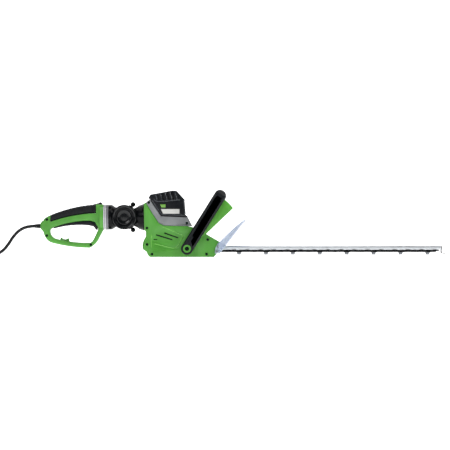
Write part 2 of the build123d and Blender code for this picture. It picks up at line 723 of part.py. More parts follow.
for name, angle in (("upper", lug_angles[0]), ("lower", lug_angles[1])):
    start_plane = lug_plane(angle)
    with BuildPart() as plunger:
        with BuildSketch(start_plane.offset(tongue_r + 0.6)):
            Circle(lug_stem_r)
        extrude(amount=lug_r - tongue_r)
        with Locations(start_plane.offset(lug_r + 2.6)):
            Sphere(lug_ball_r)
            Cylinder(3.6, 6.0, align=(Align.CENTER, Align.CENTER, Align.MAX))
        # The knob is cut off flat where it meets the neck, and the stem is put back below it.
        with BuildSketch(start_plane.offset(20)):
            Rectangle(40, 40)
        extrude(amount=lug_seat_r + gap - 20, mode=Mode.SUBTRACT)
        with BuildSketch(start_plane.offset(tongue_r + 0.6)):
            Circle(lug_stem_r)
        extrude(amount=8)
    save(plunger, f"lock_plunger_{name}")

# The rear arm: a round flange behind, a waist, and a tongue between the ears.
with BuildPart() as arm:
    with BuildSketch(Plane.XZ):
        with BuildLine():
            Polyline((collar_front + 0.1, 103), (collar_front + 0.1, 135.5), (-184, 135.5), (-181, 134.2),
                     (-170, 127), (-163, 124.5), (-163, 103), close=True)
        make_face()
    revolve(axis=Axis((0, 0, arm_axis_z), (1, 0, 0)))
    for way in (-1, 1):
        ends = sorted((way * (ear_inner - 0.1), way * 40))
        add(rod_y(pivot_x, arm_axis_z, pivot_disc_r + 1.0, *ends), mode=Mode.SUBTRACT)
    add(block(-176, pivot_x, -ear_inner + gap, ear_inner - gap, arm_axis_z - 21, arm_axis_z + 21))
    add(rod_y(pivot_x, arm_axis_z, tongue_r, -ear_inner + gap, ear_inner - gap))
    add(rod_y(pivot_x, arm_axis_z, pivot_bolt_r + running, -30, 30), mode=Mode.SUBTRACT)
    add(rod_x(10.02, -195, -181), mode=Mode.SUBTRACT)
    add(rod_x(6, -182, -165), mode=Mode.SUBTRACT)
    for x, z in arm_screw_points:
        add(rod_y(x, z, screw_r + 0.1, -30, 20), mode=Mode.SUBTRACT)
        add(rod_y(x, z, screw_head_r + 0.2, -36, -11), mode=Mode.SUBTRACT)
halves(arm.part, "rear_arm_right", "rear_arm_left")
with BuildPart() as arm_screws:
    for x, z in arm_screw_points:
        add(rod_y(x, z, screw_head_r, -13.2, -11))
        add(rod_y(x, z, screw_r, -11, 10))
save(arm_screws, "arm_screws")

with BuildPart() as collar:
    with BuildSketch(Plane.XZ):
        with BuildLine():
            Polyline((collar_rear, 113.1), (collar_rear, 103 + collar_r - 0.8), (collar_rear + 0.8, 103 + collar_r),
                     (-201.2, 103 + collar_r), (-200.6, 103 + collar_r - 0.9), (-200, 103 + collar_r),
                     (-196, 103 + collar_r), (-195.4, 103 + collar_r - 0.9), (-194.8, 103 + collar_r),
                     (collar_front - 0.8, 103 + collar_r), (collar_front, 103 + collar_r - 0.8),
                     (collar_front, 113.1), close=True)
        make_face()
    revolve(axis=Axis((0, 0, arm_axis_z), (1, 0, 0)))
save(collar, "swivel_collar")

with BuildPart() as swivel_tube:
    add(rod_x(10.0, -219.0, -181.2))
    add(rod_x(13.0, -219.0, -216.4))
    add(rod_x(7.5, -220, -180), mode=Mode.SUBTRACT)
save(swivel_tube, "swivel_tube")

# ---------------------------------------------------------------- rear handle
handle_front = -205.0
latch_rear, latch_travel = -231.5, 4.0
latch_slot = block(latch_rear - latch_travel - 1, -200, -6.4, 6.4, 129.5, 145)
handle_screw_points = [(-351.5, 97), (-351.5, 55.4), (-237.4, 31.5)]


def handle_face(grip):
    """The face of the grip moulding (True) or of the whole handle outline (False), as drawn from the side."""
    with BuildSketch() as drawn:
        with BuildLine():
            if grip:
                ThreePointArc((-342, 109), (-284, 127.8), (-224, 136.4))
                Line((-224, 136.4), (-224, 113))
                ThreePointArc((-224, 113), (-283.5, 106.4), (-343, 90.5))
                Line((-343, 90.5), (-342, 109))
            else:
                ThreePointArc((-342, 109), (-284, 127.8), (-224, 136.4))
                Polyline((-224, 136.4), (handle_front, 136), (handle_front, 71), (-223, 36), (-226, 31),
                         (-231, 26.5), (-240, 23.6))
                ThreePointArc((-240, 23.6), (-290, 27), (-330, 34.5))
                ThreePointArc((-330, 34.5), (-349, 42), (-358, 55))
                Polyline((-358, 55), (-361, 66), (-368, 72), (-368.5, 88), (-366, 92), (-360, 94.5), (-357.5, 103),
                         (-342, 109))
        make_face()
    return drawn.sketch


def opening_face():
    """The finger opening of the D handle, with the trigger's room along its top."""
    with BuildSketch() as drawn:
        with BuildLine():
            ThreePointArc((-335, 76.5), (-289, 89.4), (-240, 94))
            Polyline((-240, 94), (-231, 92), (-224, 86), (-219, 77), (-219, 70), (-229, 48), (-234, 39.5),
                     (-240, 36.6))
            ThreePointArc((-240, 36.6), (-290, 39.5), (-326, 46.5))
            ThreePointArc((-326, 46.5), (-341, 57), (-343, 70))
            Line((-343, 70), (-335, 76.5))
        make_face()
    return drawn.sketch


with BuildPart() as handle:
    # The whole D, less its soft grip and its finger opening, then hollowed.
    with BuildSketch(side(handle_half)):
        add(handle_face(False))
        add(handle_face(True), mode=Mode.SUBTRACT)
        add(opening_face(), mode=Mode.SUBTRACT)
    extrude(amount=2 * handle_half)
    # Round flange that turns against the collar.
    add(rod_x(collar_r - 0.6, handle_front - 9, handle_front))
    # Cord hook on the lower bar.
    hook_points = [
        (-318, 40), (-317, 47), (-314.5, 50.6), (-310, 46.4), (-303, 45.2), (-297.4, 48.4), (-294.6, 47), (-294, 38),
    ]
    add(slab(hook_points, -6, 6))
    with BuildSketch(side(handle_half - wall)):
        add(handle_face(False))
        add(handle_face(True), mode=Mode.SUBTRACT)
        add(opening_face(), mode=Mode.SUBTRACT)
        offset(amount=-wall, mode=Mode.REPLACE)
    extrude(amount=2 * (handle_half - wall), mode=Mode.SUBTRACT)
    # The front block stays solid around the swivel tube.
    add(block(-224, handle_front, -16, 16, 76, 131))
    for x, z in handle_screw_points:
        add(rod_y(x, z, boss_r, -handle_half + 1.6, handle_half - 1.6))
    drill_screws(handle_screw_points, handle_half)
    add(rod_x(10.0 + running, -216.2, -200), mode=Mode.SUBTRACT)
    add(rod_x(13.3, -219.4, -216.1), mode=Mode.SUBTRACT)
    add(rod_x(6.0, -230, -219), mode=Mode.SUBTRACT)
    # Slot for the trigger, open to the finger side.
    add(slab([(-338, 72), (-338, 80), (-290, 101), (-262, 103.5), (-228, 103.5), (-217.5, 92), (-215, 68)],
             -8.8, 8.8), mode=Mode.SUBTRACT)
    add(rod_y(*trigger_pivot, 3.02, -handle_half + 1.8, handle_half - 1.8), mode=Mode.SUBTRACT)
    # Sockets for the cord boot and for the twist latch.
    add(rod_x(8.4, -375, -355, cord_exit_z), mode=Mode.SUBTRACT)
    add(latch_slot, mode=Mode.SUBTRACT)
halves(handle.part, "rear_handle_right", "rear_handle_left")
screws("handle_screws", handle_screw_points, handle_half)

with BuildPart() as grip:
    with BuildSketch(side(handle_half + 1.2)):
        add(handle_face(True))
        offset(amount=-joint_line, mode=Mode.REPLACE)
    extrude(amount=2 * handle_half + 2.4)
    rims = grip.faces().filter_by(Axis.Y).group_by(Axis.Y)
    chamfer(rims[0].edges() + rims[-1].edges(), 2)
    add(latch_slot, mode=Mode.SUBTRACT)
save(grip, "rear_grip")

with BuildPart() as trigger:
    with BuildSketch(side(8.2)):
        with BuildLine():
            ThreePointArc((-334, 73.4), (-287, 82), (-242, 81.6))
            Polyline((-242, 81.6), (-230, 78.6), (-224.6, 70), (-221, 70), (-219.8, 78), (-223.5, 86), (-224, 92.5),
                     (-233, 94.5), (-240, 95.2))
            ThreePointArc((-240, 95.2), (-289, 90.4), (-334, 77.5))
            Line((-334, 77.5), (-334, 73.4))
        make_face()
    extrude(amount=16.4)
    add(rod_y(*trigger_pivot, 3.0 + running, -9, 9), mode=Mode.SUBTRACT)
save(trigger, "rear_trigger")
with BuildPart() as trigger_pin:
    add(rod_y(*trigger_pivot, 3.0, -handle_half + 2, handle_half - 2))
save(trigger_pin, "trigger_pin")
with BuildPart() as trigger_spring:
    add(coil(3.0, 0.4, (-300, 0, 89.4), (0, 0, 1), 4.6, 3))
save(trigger_spring, "trigger_spring")
with BuildPart() as handle_switch:
    add(block(-276, -252, -7, 7, 97.4, 102.6))
save(handle_switch, "rear_switch")

with BuildPart() as latch:
    add(block(latch_rear, -209, -6, 6, 131, 136.4))
    add(slab([(-231, 136.6), (-212, 140.6), (-209, 139.8), (-208.6, 137), (-212, 134), (-231, 134)], -6, 6))
    add(rod_y(-213.5, 138.4, 3.5, -6, 6))
save(latch, "twist_latch")
with BuildPart() as latch_spring:
    add(coil(2.0, 0.35, (-208.6, 0, 133.2), (1, 0, 0), 2.6, 2.5))
save(latch_spring, "latch_spring")

# ---------------------------------------------------------------- cord
with BuildPart() as boot:
    with BuildSketch(Plane.XZ):
        with BuildLine():
            Polyline((-356, cord_exit_z), (-356, cord_exit_z + 8.3), (-360, cord_exit_z + 8.3),
                     (-360, cord_exit_z + 6.8), (-369, cord_exit_z + 6.6), (-383, cord_exit_z + 5.2),
                     (-384, cord_exit_z + 4.8), (-384, cord_exit_z), close=True)
        make_face()
    revolve(axis=Axis((0, 0, cord_exit_z), (1, 0, 0)))
save(boot, "cord_boot")

# Route of the lead: out of the boot, down to the floor, then along it to the plug.
cord_route = [
    (-384, 0, 80), (-402, 0, 79.4), (-423, 0, 70.5), (-440, 0, 53), (-453, 0, 32), (-468, 0, 14),
    (-490, 1, 4), (-516, 8, 4), (-540, 25, 4), (-553, 51, 4), (-557, 80, 4), (-556, 110, 5.5), (-558, 138, 8.2),
]


def route_radii(points):
    """The largest tangent arc at each corner: 0.45 of the shorter run, over the tangent of half the turn."""
    spots = [Vector(*p) for p in points]
    runs = [after - before for before, after in zip(spots, spots[1:])]
    return [
        0.45 * min(a.length, b.length) / tan(radians(a.get_angle(b)) / 2) for a, b in zip(runs, runs[1:])
    ]


cord_radii = route_radii(cord_route)
print("cord radii", [round(r, 1) for r in cord_radii])
with BuildPart() as cord:
    with BuildLine() as path:
        FilletPolyline(*cord_route, radius=cord_radii)
    with BuildSketch(Plane(origin=path.line @ 0, z_dir=path.line % 0)):
        Circle(cord_r)
    sweep()
cord_length = sum(edge.length for edge in path.edges())
print("cord length", round(cord_length, 1), "volume over section", round(cord.part.volume / (pi * cord_r**2), 1))
save(cord, "power_cord")

plug_start = path.line @ 1
plug_run = path.line % 1
plug_plane = Plane(origin=plug_start, x_dir=(plug_run.Y, -plug_run.X, 0), z_dir=(plug_run.X, plug_run.Y, 0))
with BuildPart() as plug:
    with BuildSketch(plug_plane.offset(0.6)):
        RectangleRounded(13, 11, 4.5)
    with BuildSketch(plug_plane.offset(16)):
        RectangleRounded(24, 15.6, 6)
    loft()
    with BuildSketch(plug_plane.offset(16)):
        RectangleRounded(24, 15.6, 6)
    extrude(amount=6)
    with BuildSketch(plug_plane.offset(22)):
        RectangleRounded(34, 15.6, 6)
    extrude(amount=22)
save(plug, "mains_plug")
with BuildPart() as pins:
    with BuildSketch(plug_plane.offset(44.02)):
        with Locations((-9.5, 0), (9.5, 0)):
            Circle(2.4)
    extrude(amount=19)
save(pins, "plug_pins")
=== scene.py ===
# %% [markdown]
# # A hedge trimmer around its CAD frame
# The frame brings in every CAD part at its real place, in metres. This lesson never moves
# those parts. It gives them materials, and it builds the moulded shells, the grips, the
# blades and the lead again as finer pieces that ride on the same bodies.

# %% Load the frame
import json
import math

import bmesh
import bpy
import numpy as np
from mathutils import Matrix, Vector


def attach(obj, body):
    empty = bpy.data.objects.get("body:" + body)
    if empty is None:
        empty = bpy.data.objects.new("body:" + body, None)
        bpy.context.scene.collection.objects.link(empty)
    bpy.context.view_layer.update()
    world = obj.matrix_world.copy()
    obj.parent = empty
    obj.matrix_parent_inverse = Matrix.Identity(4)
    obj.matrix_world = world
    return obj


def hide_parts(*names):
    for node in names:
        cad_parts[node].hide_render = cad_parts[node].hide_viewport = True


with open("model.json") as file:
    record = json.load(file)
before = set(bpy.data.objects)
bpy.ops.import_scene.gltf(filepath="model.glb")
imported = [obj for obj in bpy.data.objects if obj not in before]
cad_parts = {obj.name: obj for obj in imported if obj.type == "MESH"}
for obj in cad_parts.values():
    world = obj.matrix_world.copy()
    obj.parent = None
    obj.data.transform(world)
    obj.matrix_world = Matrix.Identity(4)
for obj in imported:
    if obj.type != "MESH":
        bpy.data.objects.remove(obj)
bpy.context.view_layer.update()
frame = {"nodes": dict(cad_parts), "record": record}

MM = 0.001
sides = (("right", -1), ("left", 1))    # each side's name and the sign of its Y

# %% [markdown]
# ## The camera
# A tool catalogue shows a hedge trimmer square from its side. A long lens far away keeps
# both ends of the tool the same scale, as a parallel view would.

# %% Camera
view_width = 1.170                      # how much of the tool's length the frame takes in
camera_distance = 6.0
camera_data = bpy.data.cameras.new("studio_camera")
camera_data.sensor_width = 36.0
camera_data.lens = 36.0 * camera_distance / view_width
camera_data.clip_end = 50.0
camera = bpy.data.objects.new("studio_camera", camera_data)
camera.location = (0.1105, -camera_distance, 0.0827)
camera.rotation_euler = (math.pi / 2, 0, 0)
bpy.context.collection.objects.link(camera)
bpy.context.scene.camera = camera
print("lens", round(camera_data.lens, 1), "mm")

# %% [markdown]
# ## Helpers for materials
# Every finish is a Principled shader. Colours are written as sRGB hex, as a paint chart
# gives them, and one function turns them to the linear values that the shader reads.

# %% Colour and node helpers
def linear(hex_colour):
    """An sRGB hex colour as linear red, green, blue and 1."""
    channels = [int(hex_colour[i:i + 2], 16) / 255 for i in (1, 3, 5)]
    return [c / 12.92 if c <= 0.04045 else ((c + 0.055) / 1.055) ** 2.4 for c in channels] + [1.0]


def add_node(tree, kind, links=None, values=None, **settings):
    """Adds a node, sets its properties and socket values, and links sockets into its inputs."""
    made = tree.nodes.new(kind)
    for name, value in settings.items():
        setattr(made, name, value)
    for socket, value in (values or {}).items():
        made.inputs[socket].default_value = value
    for socket, source in (links or {}).items():
        tree.links.new(source, made.inputs[socket])
    return made


def new_material(name, **values):
    """A Principled material with uniform values set straight on the shader's own sockets."""
    made = bpy.data.materials.new(name)
    made.use_nodes = True
    shader = made.node_tree.nodes["Principled BSDF"]
    for socket, value in values.items():
        shader.inputs[socket.replace("_", " ")].default_value = value
    return made, made.node_tree, shader


def object_noise(tree, size_mm, detail=2.0, rough=0.5, stretch=(1, 1, 1)):
    """A noise whose blobs are about size_mm across, on the object's own coordinates."""
    place = add_node(tree, "ShaderNodeTexCoord")
    scaled = add_node(tree, "ShaderNodeMapping", {"Vector": place.outputs["Object"]}, {"Scale": stretch})
    return add_node(tree, "ShaderNodeTexNoise", {"Vector": scaled.outputs["Vector"]},
                    {"Scale": 1.0 / (size_mm * MM), "Detail": detail, "Roughness": rough})


def two_tone(tree, shader, noise, dark, light, low=0.35, high=0.65):
    """Blends the base colour between two hex values by a noise."""
    ramp = add_node(tree, "ShaderNodeValToRGB", {"Fac": noise.outputs["Fac"]})
    ramp.color_ramp.elements[0].position, ramp.color_ramp.elements[0].color = low, linear(dark)
    ramp.color_ramp.elements[1].position, ramp.color_ramp.elements[1].color = high, linear(light)
    tree.links.new(ramp.outputs["Color"], shader.inputs["Base Color"])


def vary_roughness(tree, shader, noise, low, high):
    """Lets a noise move the roughness between two values, as handling and moulding do."""
    spread = add_node(tree, "ShaderNodeMapRange", {"Value": noise.outputs["Fac"]},
                      {"From Min": 0.3, "From Max": 0.7, "To Min": low, "To Max": high})
    tree.links.new(spread.outputs["Result"], shader.inputs["Roughness"])


def add_bump(tree, shader, height_socket, depth_mm, strength=1.0):
    """Raises the surface by up to depth_mm where the height is 1."""
    bump = add_node(tree, "ShaderNodeBump", {"Height": height_socket},
                    {"Distance": depth_mm * MM, "Strength": strength})
    tree.links.new(bump.outputs["Normal"], shader.inputs["Normal"])


# %% [markdown]
# ## The finishes
# The green casings are glass-filled nylon, moulded in a spark-eroded tool, so they have a
# fine orange-peel grain and a satin sheen. Real grain is about 0.1 mm, too fine to show
# here, so it is drawn at about 1 mm and very shallow.

# %% Moulded plastics
def moulded_plastic(name, dark, light, rough_low, rough_high, grain_mm=1.2, grain_depth=0.05, shine=0.5):
    """Injection-moulded plastic: slow colour drift, uneven satin and a fine grain."""
    made, tree, shader = new_material(name, IOR=1.5, Specular_IOR_Level=shine)
    two_tone(tree, shader, object_noise(tree, 45.0), dark, light)
    vary_roughness(tree, shader, object_noise(tree, 12.0, 4.0), rough_low, rough_high)
    grain = object_noise(tree, grain_mm, 3.0, 0.6)
    add_bump(tree, shader, grain.outputs["Fac"], grain_depth, 0.6)
    return made


green_nylon = moulded_plastic("green_nylon_moulded", "#428a26", "#4a962e", 0.34, 0.46)
green_lever_nylon = moulded_plastic("green_lever_nylon_moulded", "#4a942a", "#54a032", 0.36, 0.48)
black_nylon = moulded_plastic("black_nylon_moulded", "#0a0d11", "#101419", 0.3, 0.44, shine=0.24)
black_acetal = moulded_plastic("black_acetal_polished", "#040507", "#07090c", 0.16, 0.26, 2.0, 0.02, 0.13)
black_polished = moulded_plastic("black_acetal_buffed", "#050709", "#090c0f", 0.12, 0.2, 2.0, 0.01, 0.34)
# The two ridge finishes are lighter and shinier than the shells they sit on: painted highlight along the
# beads.
black_ridge_painted_highlight = moulded_plastic("black_nylon_ridge_painted_highlight", "#23282e", "#30363d", 0.2, 0.3, shine=0.7)
green_ridge_painted_highlight = moulded_plastic("green_nylon_ridge_painted_highlight", "#5aa537", "#69b446", 0.2, 0.28, shine=0.9)
grey_abs = moulded_plastic("grey_abs_painted", "#6f7274", "#7f8284", 0.34, 0.46)
silver_abs = moulded_plastic("silver_abs_painted", "#58585d", "#717176", 0.24, 0.36)
bright_abs = moulded_plastic("bright_silver_abs_painted", "#aeaeb3", "#c4c4ca", 0.2, 0.3, shine=0.7)
white_nylon = moulded_plastic("white_nylon_moulded", "#c8c6bd", "#d8d6cd", 0.45, 0.6)
print("plastics:", green_nylon.name, black_nylon.name, black_acetal.name)


# %% [markdown]
# The grip is a thermoplastic rubber moulded over the shell. It is matt, slightly dusty and
# carries a leather-like texture whose cells are about 2 mm across.

# %% Rubber
def soft_rubber(name, dark, light, cell_mm, depth_mm, rough=0.62):
    """Matt thermoplastic rubber with a cellular texture."""
    made, tree, shader = new_material(
        name, IOR=1.5, Specular_IOR_Level=0.22, Sheen_Weight=0.04, Sheen_Roughness=0.5)
    two_tone(tree, shader, object_noise(tree, 18.0, 3.0), dark, light)
    vary_roughness(tree, shader, object_noise(tree, 9.0, 3.0), rough - 0.06, rough + 0.1)
    place = add_node(tree, "ShaderNodeTexCoord")
    cells = add_node(tree, "ShaderNodeTexVoronoi", {"Vector": place.outputs["Object"]},
                     {"Scale": 1.0 / (cell_mm * MM)}, feature="DISTANCE_TO_EDGE")
    add_bump(tree, shader, cells.outputs["Distance"], depth_mm, 0.8)
    return made


grip_rubber = soft_rubber("soft_grip_rubber_textured", "#07090d", "#0e1216", 2.6, 0.6)
sheath_rubber = soft_rubber("cord_sheath_rubber_extruded", "#090a0c", "#0f1114", 1.4, 0.06, 0.45)


# %% [markdown]
# Metals keep the default IOR. What tells them apart is how the surface was made: an
# extruded rail has faint die lines along its length, a blackened blade has fine grinding
# marks across it, and a zinc-plated screw is nearly smooth with a soft mottle.

# %% Metals
def worked_metal(name, dark, light, rough_low, rough_high, stretch=(1, 1, 1), size_mm=3.0, depth=0.02):
    """A metal with directional or mottled marks; stretch squeezes the marks along an axis."""
    made, tree, shader = new_material(name, Metallic=1.0)
    marks = object_noise(tree, size_mm, 4.0, 0.6, stretch)
    two_tone(tree, shader, marks, dark, light, 0.3, 0.7)
    vary_roughness(tree, shader, marks, rough_low, rough_high)
    add_bump(tree, shader, marks.outputs["Fac"], depth, 0.4)
    return made


extruded_aluminium = worked_metal("aluminium_extruded", "#b9bdc1", "#d5d9dc", 0.28, 0.4, (0.04, 1, 1), 1.2)
blackened_steel = worked_metal("steel_blackened", "#0c0e10", "#1a1c1e", 0.34, 0.5, (1, 0.2, 1), 2.0)
zinc_steel = worked_metal("steel_zinc_plated", "#6d7074", "#8f9296", 0.25, 0.4, size_mm=2.0)
oxide_steel = worked_metal("steel_black_oxide", "#14201a", "#20302a", 0.3, 0.45, size_mm=2.0)
turned_steel = worked_metal("steel_turned", "#8c8e90", "#b5b7b9", 0.2, 0.35, size_mm=1.5)
stacked_iron = worked_metal("iron_laminated", "#3a3b3d", "#5a5b5d", 0.4, 0.6, (0.2, 0.2, 3), 1.0)
drawn_copper = worked_metal("copper_drawn", "#9a5a34", "#c47a48", 0.25, 0.4)
cast_aluminium = worked_metal("aluminium_die_cast", "#85888a", "#a0a3a5", 0.45, 0.6, size_mm=2.0)
nickelled_brass = worked_metal("brass_nickelled", "#b9b3a0", "#d2ccb8", 0.18, 0.3)

# %% [markdown]
# The bail's inlays are glossy black acetal. They are darkest along the middle and turn grey at both ends, a
# painted highlight at the band's ends. The tint follows how far a point lies along the bail.

# %% Inlay with painted end highlights
bail_angle = math.radians(58)
inlay_near, inlay_far = 0.025, 0.183    # the inlay's ends along the bail's direction, in metres


def acetal_with_painted_end_highlights(name, tints):
    """Acetal whose tint changes along the bail, grey ends being painted highlight; tints lists (share of the
    length, hex).
    """
    made, tree, shader = new_material(name, IOR=1.5, Specular_IOR_Level=0.3)
    place = add_node(tree, "ShaderNodeTexCoord")
    reach = add_node(tree, "ShaderNodeVectorMath", {0: place.outputs["Object"]},
                     {1: (math.cos(bail_angle), 0.0, math.sin(bail_angle))}, operation="DOT_PRODUCT")
    share = add_node(tree, "ShaderNodeMapRange", {"Value": reach.outputs["Value"]},
                     {"From Min": inlay_near, "From Max": inlay_far, "To Min": 0.0, "To Max": 1.0})
    ramp = add_node(tree, "ShaderNodeValToRGB", {"Fac": share.outputs["Result"]})
    stops = ramp.color_ramp.elements
    for k, (position, tint) in enumerate(tints):
        stop = stops[k] if k < 2 else stops.new(position)
        stop.position, stop.color = position, linear(tint)
    tree.links.new(ramp.outputs["Color"], shader.inputs["Base Color"])
    vary_roughness(tree, shader, object_noise(tree, 9.0), 0.14, 0.26)
    return made


# The inlay is near black in the middle and grey at both ends: painted highlight, not wear.
inlay_acetal_painted_highlight = acetal_with_painted_end_highlights(
    "black_acetal_painted_end_highlights", [(0.0, "#272b30"), (0.32, "#0a0d10"), (0.74, "#080a0d"), (1.0, "#1d2126")])
print("inlay finish:", inlay_acetal_painted_highlight.name)

# %% [markdown]
# The hand guard is clear polycarbonate with a faint blue tint. It is drawn partly see-through
# rather than refracting, because a thin flat sheet hardly bends the light and the picture
# stays free of grain. The rating plate is a printed film, left blank.

# %% Clear guard and film
clear_guard, guard_tree, guard_shader = new_material(
    "polycarbonate_clear", IOR=1.58, Alpha=0.48, Coat_Weight=0.3, Coat_Roughness=0.08)
two_tone(guard_tree, guard_shader, object_noise(guard_tree, 30.0), "#b4c1da", "#c6d1e6")
vary_roughness(guard_tree, guard_shader, object_noise(guard_tree, 8.0, 4.0), 0.08, 0.2)
label_film = moulded_plastic("printed_film_pale", "#b9b9b6", "#c8c8c5", 0.3, 0.4, 0.8, 0.01)
accent_film = moulded_plastic("printed_film_green", "#5d9038", "#6ea342", 0.3, 0.4, 0.8, 0.01)
print("clear guard and films ready")

# %% Give every CAD part its finish
finish_of_slot = {
    "green_shell": green_nylon, "green_lever": green_lever_nylon, "black_shell": black_nylon,
    "black_gloss": black_acetal, "soft_grip": grip_rubber, "grey_trim": grey_abs,
    "grey_collar": silver_abs, "clear_guard": clear_guard, "rail_metal": extruded_aluminium,
    "blade_steel": blackened_steel, "fastener_steel": zinc_steel, "dark_screw": oxide_steel,
    "machined_steel": turned_steel, "laminated_iron": stacked_iron, "copper": drawn_copper,
    "die_cast": cast_aluminium, "nylon": white_nylon, "label": label_film, "accent": accent_film,
    "cord_sheath": sheath_rubber, "plug_pin_brass": nickelled_brass,
}
slot_of_node = {row["node"]: row["material_slot"] for row in frame["record"]["subparts"]}
# The upper gear case is drawn in black nylon, not its die-cast metal: painted shade, so it looks dark through
# the vents.
finish_of_node = {"trigger_pin": oxide_steel, "gear_case_upper": black_nylon}
for node_name, cad_object in frame["nodes"].items():
    cad_object.data.materials.clear()
    cad_object.data.materials.append(finish_of_node.get(node_name, finish_of_slot[slot_of_node[node_name]]))
print("finished", len(slot_of_node), "CAD parts in", len(finish_of_slot), "finishes")

# %% [markdown]
# ## The studio
# A pale sheet of acrylic lies under the tool and curves up behind it, so no horizon shows.
# It is lit from behind, as on a product table, which keeps it near white while the tool
# itself is lit gently. Three soft lights stand above, beside and in front of the tool. A
# camera turned to look from behind has the sheet's rise between itself and the tool.

# %% Floor and lights
def sweep_floor():
    """One sheet: flat under the tool, curved up behind it."""
    bend_r, back_y, half_x = 1.5, 2.0, 9.0
    profile = [(-half_x, 0.0), (back_y, 0.0)]
    profile += [(back_y + bend_r * math.sin(a), bend_r * (1 - math.cos(a)))
                for a in np.linspace(0, math.pi / 2, 16)[1:]]
    profile.append((back_y + bend_r, half_x))
    points = [(x, y, z) for y, z in profile for x in (-half_x, half_x)]
    faces = [(2 * i, 2 * i + 1, 2 * i + 3, 2 * i + 2) for i in range(len(profile) - 1)]
    mesh = bpy.data.meshes.new("studio_floor")
    mesh.from_pydata(points, [], faces)
    mesh.shade_smooth()
    made = bpy.data.objects.new("studio_floor", mesh)
    bpy.context.collection.objects.link(made)
    return made


floor_sheet, floor_tree, floor_shader = new_material(
    "backdrop_acrylic_backlit", Roughness=0.9, Specular_IOR_Level=0.05, Emission_Strength=0.95)
two_tone(floor_tree, floor_shader, object_noise(floor_tree, 400.0), "#f2f2f2", "#f6f6f6")
floor_shader.inputs["Emission Color"].default_value = (1, 1, 1, 1)
floor = sweep_floor()
floor.data.materials.append(floor_sheet)


def soft_light(name, place, target, size, watts):
    """A square area light at place, turned to face target."""
    data = bpy.data.lights.new(name, "AREA")
    data.size, data.energy = size, watts
    made = bpy.data.objects.new(name, data)
    made.location = place
    made.rotation_euler = (Vector(target) - Vector(place)).to_track_quat("-Z", "Y").to_euler()
    bpy.context.collection.objects.link(made)


soft_light("top_softbox", (0.1, -0.4, 2.2), (0.1, 0, 0.1), 1.6, 19)
soft_light("front_softbox", (-1.3, -2.4, 1.5), (0.1, 0, 0.1), 1.1, 21)
soft_light("side_softbox", (1.7, -0.9, 1.9), (-0.1, 0, 0.1), 0.6, 16)
world = bpy.data.worlds.new("studio_world")
world.use_nodes = True
surround = world.node_tree.nodes["Background"]
surround.inputs["Color"].default_value = (1, 1, 1, 1)
surround.inputs["Strength"].default_value = 0.10
bpy.context.scene.world = world
bpy.context.scene.view_settings.view_transform = "Standard"
print("studio ready")

# %% [markdown]
# ## Tools for finer shapes
# A moulding's edges are never sharp: the mould is cut with round tools. A sharp CAD shell
# could get a Bevel modifier, but its walls are thin and its edges short. It is safer to
# make one solid from the outline with a round edge, as a 2-D curve with depth does, and
# keep only what the shell and that solid share.

# %% Mesh helpers
def link_mesh(name, mesh):
    """Puts a mesh into the scene as an object at the origin."""
    made = bpy.data.objects.new(name, mesh)
    bpy.context.collection.objects.link(made)
    return made


def from_bmesh(name, shape):
    """Turns a bmesh into a linked object and frees the bmesh."""
    mesh = bpy.data.meshes.new(name)
    shape.to_mesh(mesh)
    shape.free()
    return link_mesh(name, mesh)


def closed_copy(name, node_name, flat=1.0):
    """A CAD part's mesh with its seams welded and its flat faces joined into single ones."""
    shape = bmesh.new()
    shape.from_mesh(frame["nodes"][node_name].data)
    bmesh.ops.remove_doubles(shape, verts=shape.verts, dist=0.002 * MM)
    bmesh.ops.dissolve_limit(shape, angle_limit=math.radians(flat), verts=shape.verts, edges=shape.edges)
    return from_bmesh(name, shape)


def bake_modifiers(made):
    """Makes an object's modifiers permanent, so that it is a plain mesh again."""
    bpy.context.view_layer.update()
    seen = made.evaluated_get(bpy.context.evaluated_depsgraph_get())
    mesh = bpy.data.meshes.new_from_object(seen)
    made.modifiers.clear()
    made.data = mesh
    return made


def combine(made, tools, operation="DIFFERENCE"):
    """Cuts, joins or intersects an object with others, which are then removed."""
    for tool in tools:
        step = made.modifiers.new("combine", "BOOLEAN")
        step.object, step.operation, step.solver = tool, operation, "EXACT"
    bake_modifiers(made)
    for tool in tools:
        bpy.data.objects.remove(tool)
    return made


def soften_edges(made, width_mm, segments=3, angle=28.0):
    """Rounds every edge sharper than an angle."""
    step = made.modifiers.new("soften", "BEVEL")
    step.width, step.segments, step.limit_method = width_mm * MM, segments, "ANGLE"
    step.angle_limit, step.use_clamp_overlap = math.radians(angle), False
    return bake_modifiers(made)


def settle(made, body, finish, nodes=(), smooth_angle=32.0):
    """The last step of a piece: its normals, finish, body and the CAD parts it stands for."""
    shape = bmesh.new()
    shape.from_mesh(made.data)
    bmesh.ops.remove_doubles(shape, verts=shape.verts, dist=0.004 * MM)
    bmesh.ops.dissolve_degenerate(shape, edges=shape.edges, dist=0.002 * MM)
    bmesh.ops.recalc_face_normals(shape, faces=shape.faces)
    open_edges = sum(len(edge.link_faces) != 2 for edge in shape.edges)
    shape.to_mesh(made.data)
    shape.free()
    made.data.shade_smooth()
    made.data.set_sharp_from_angle(angle=math.radians(smooth_angle))
    if not len(made.data.materials):
        made.data.materials.append(finish)
    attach(made, body)
    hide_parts(*nodes)
    print(made.name, len(made.data.polygons), "faces", open_edges, "open edges")
    return made


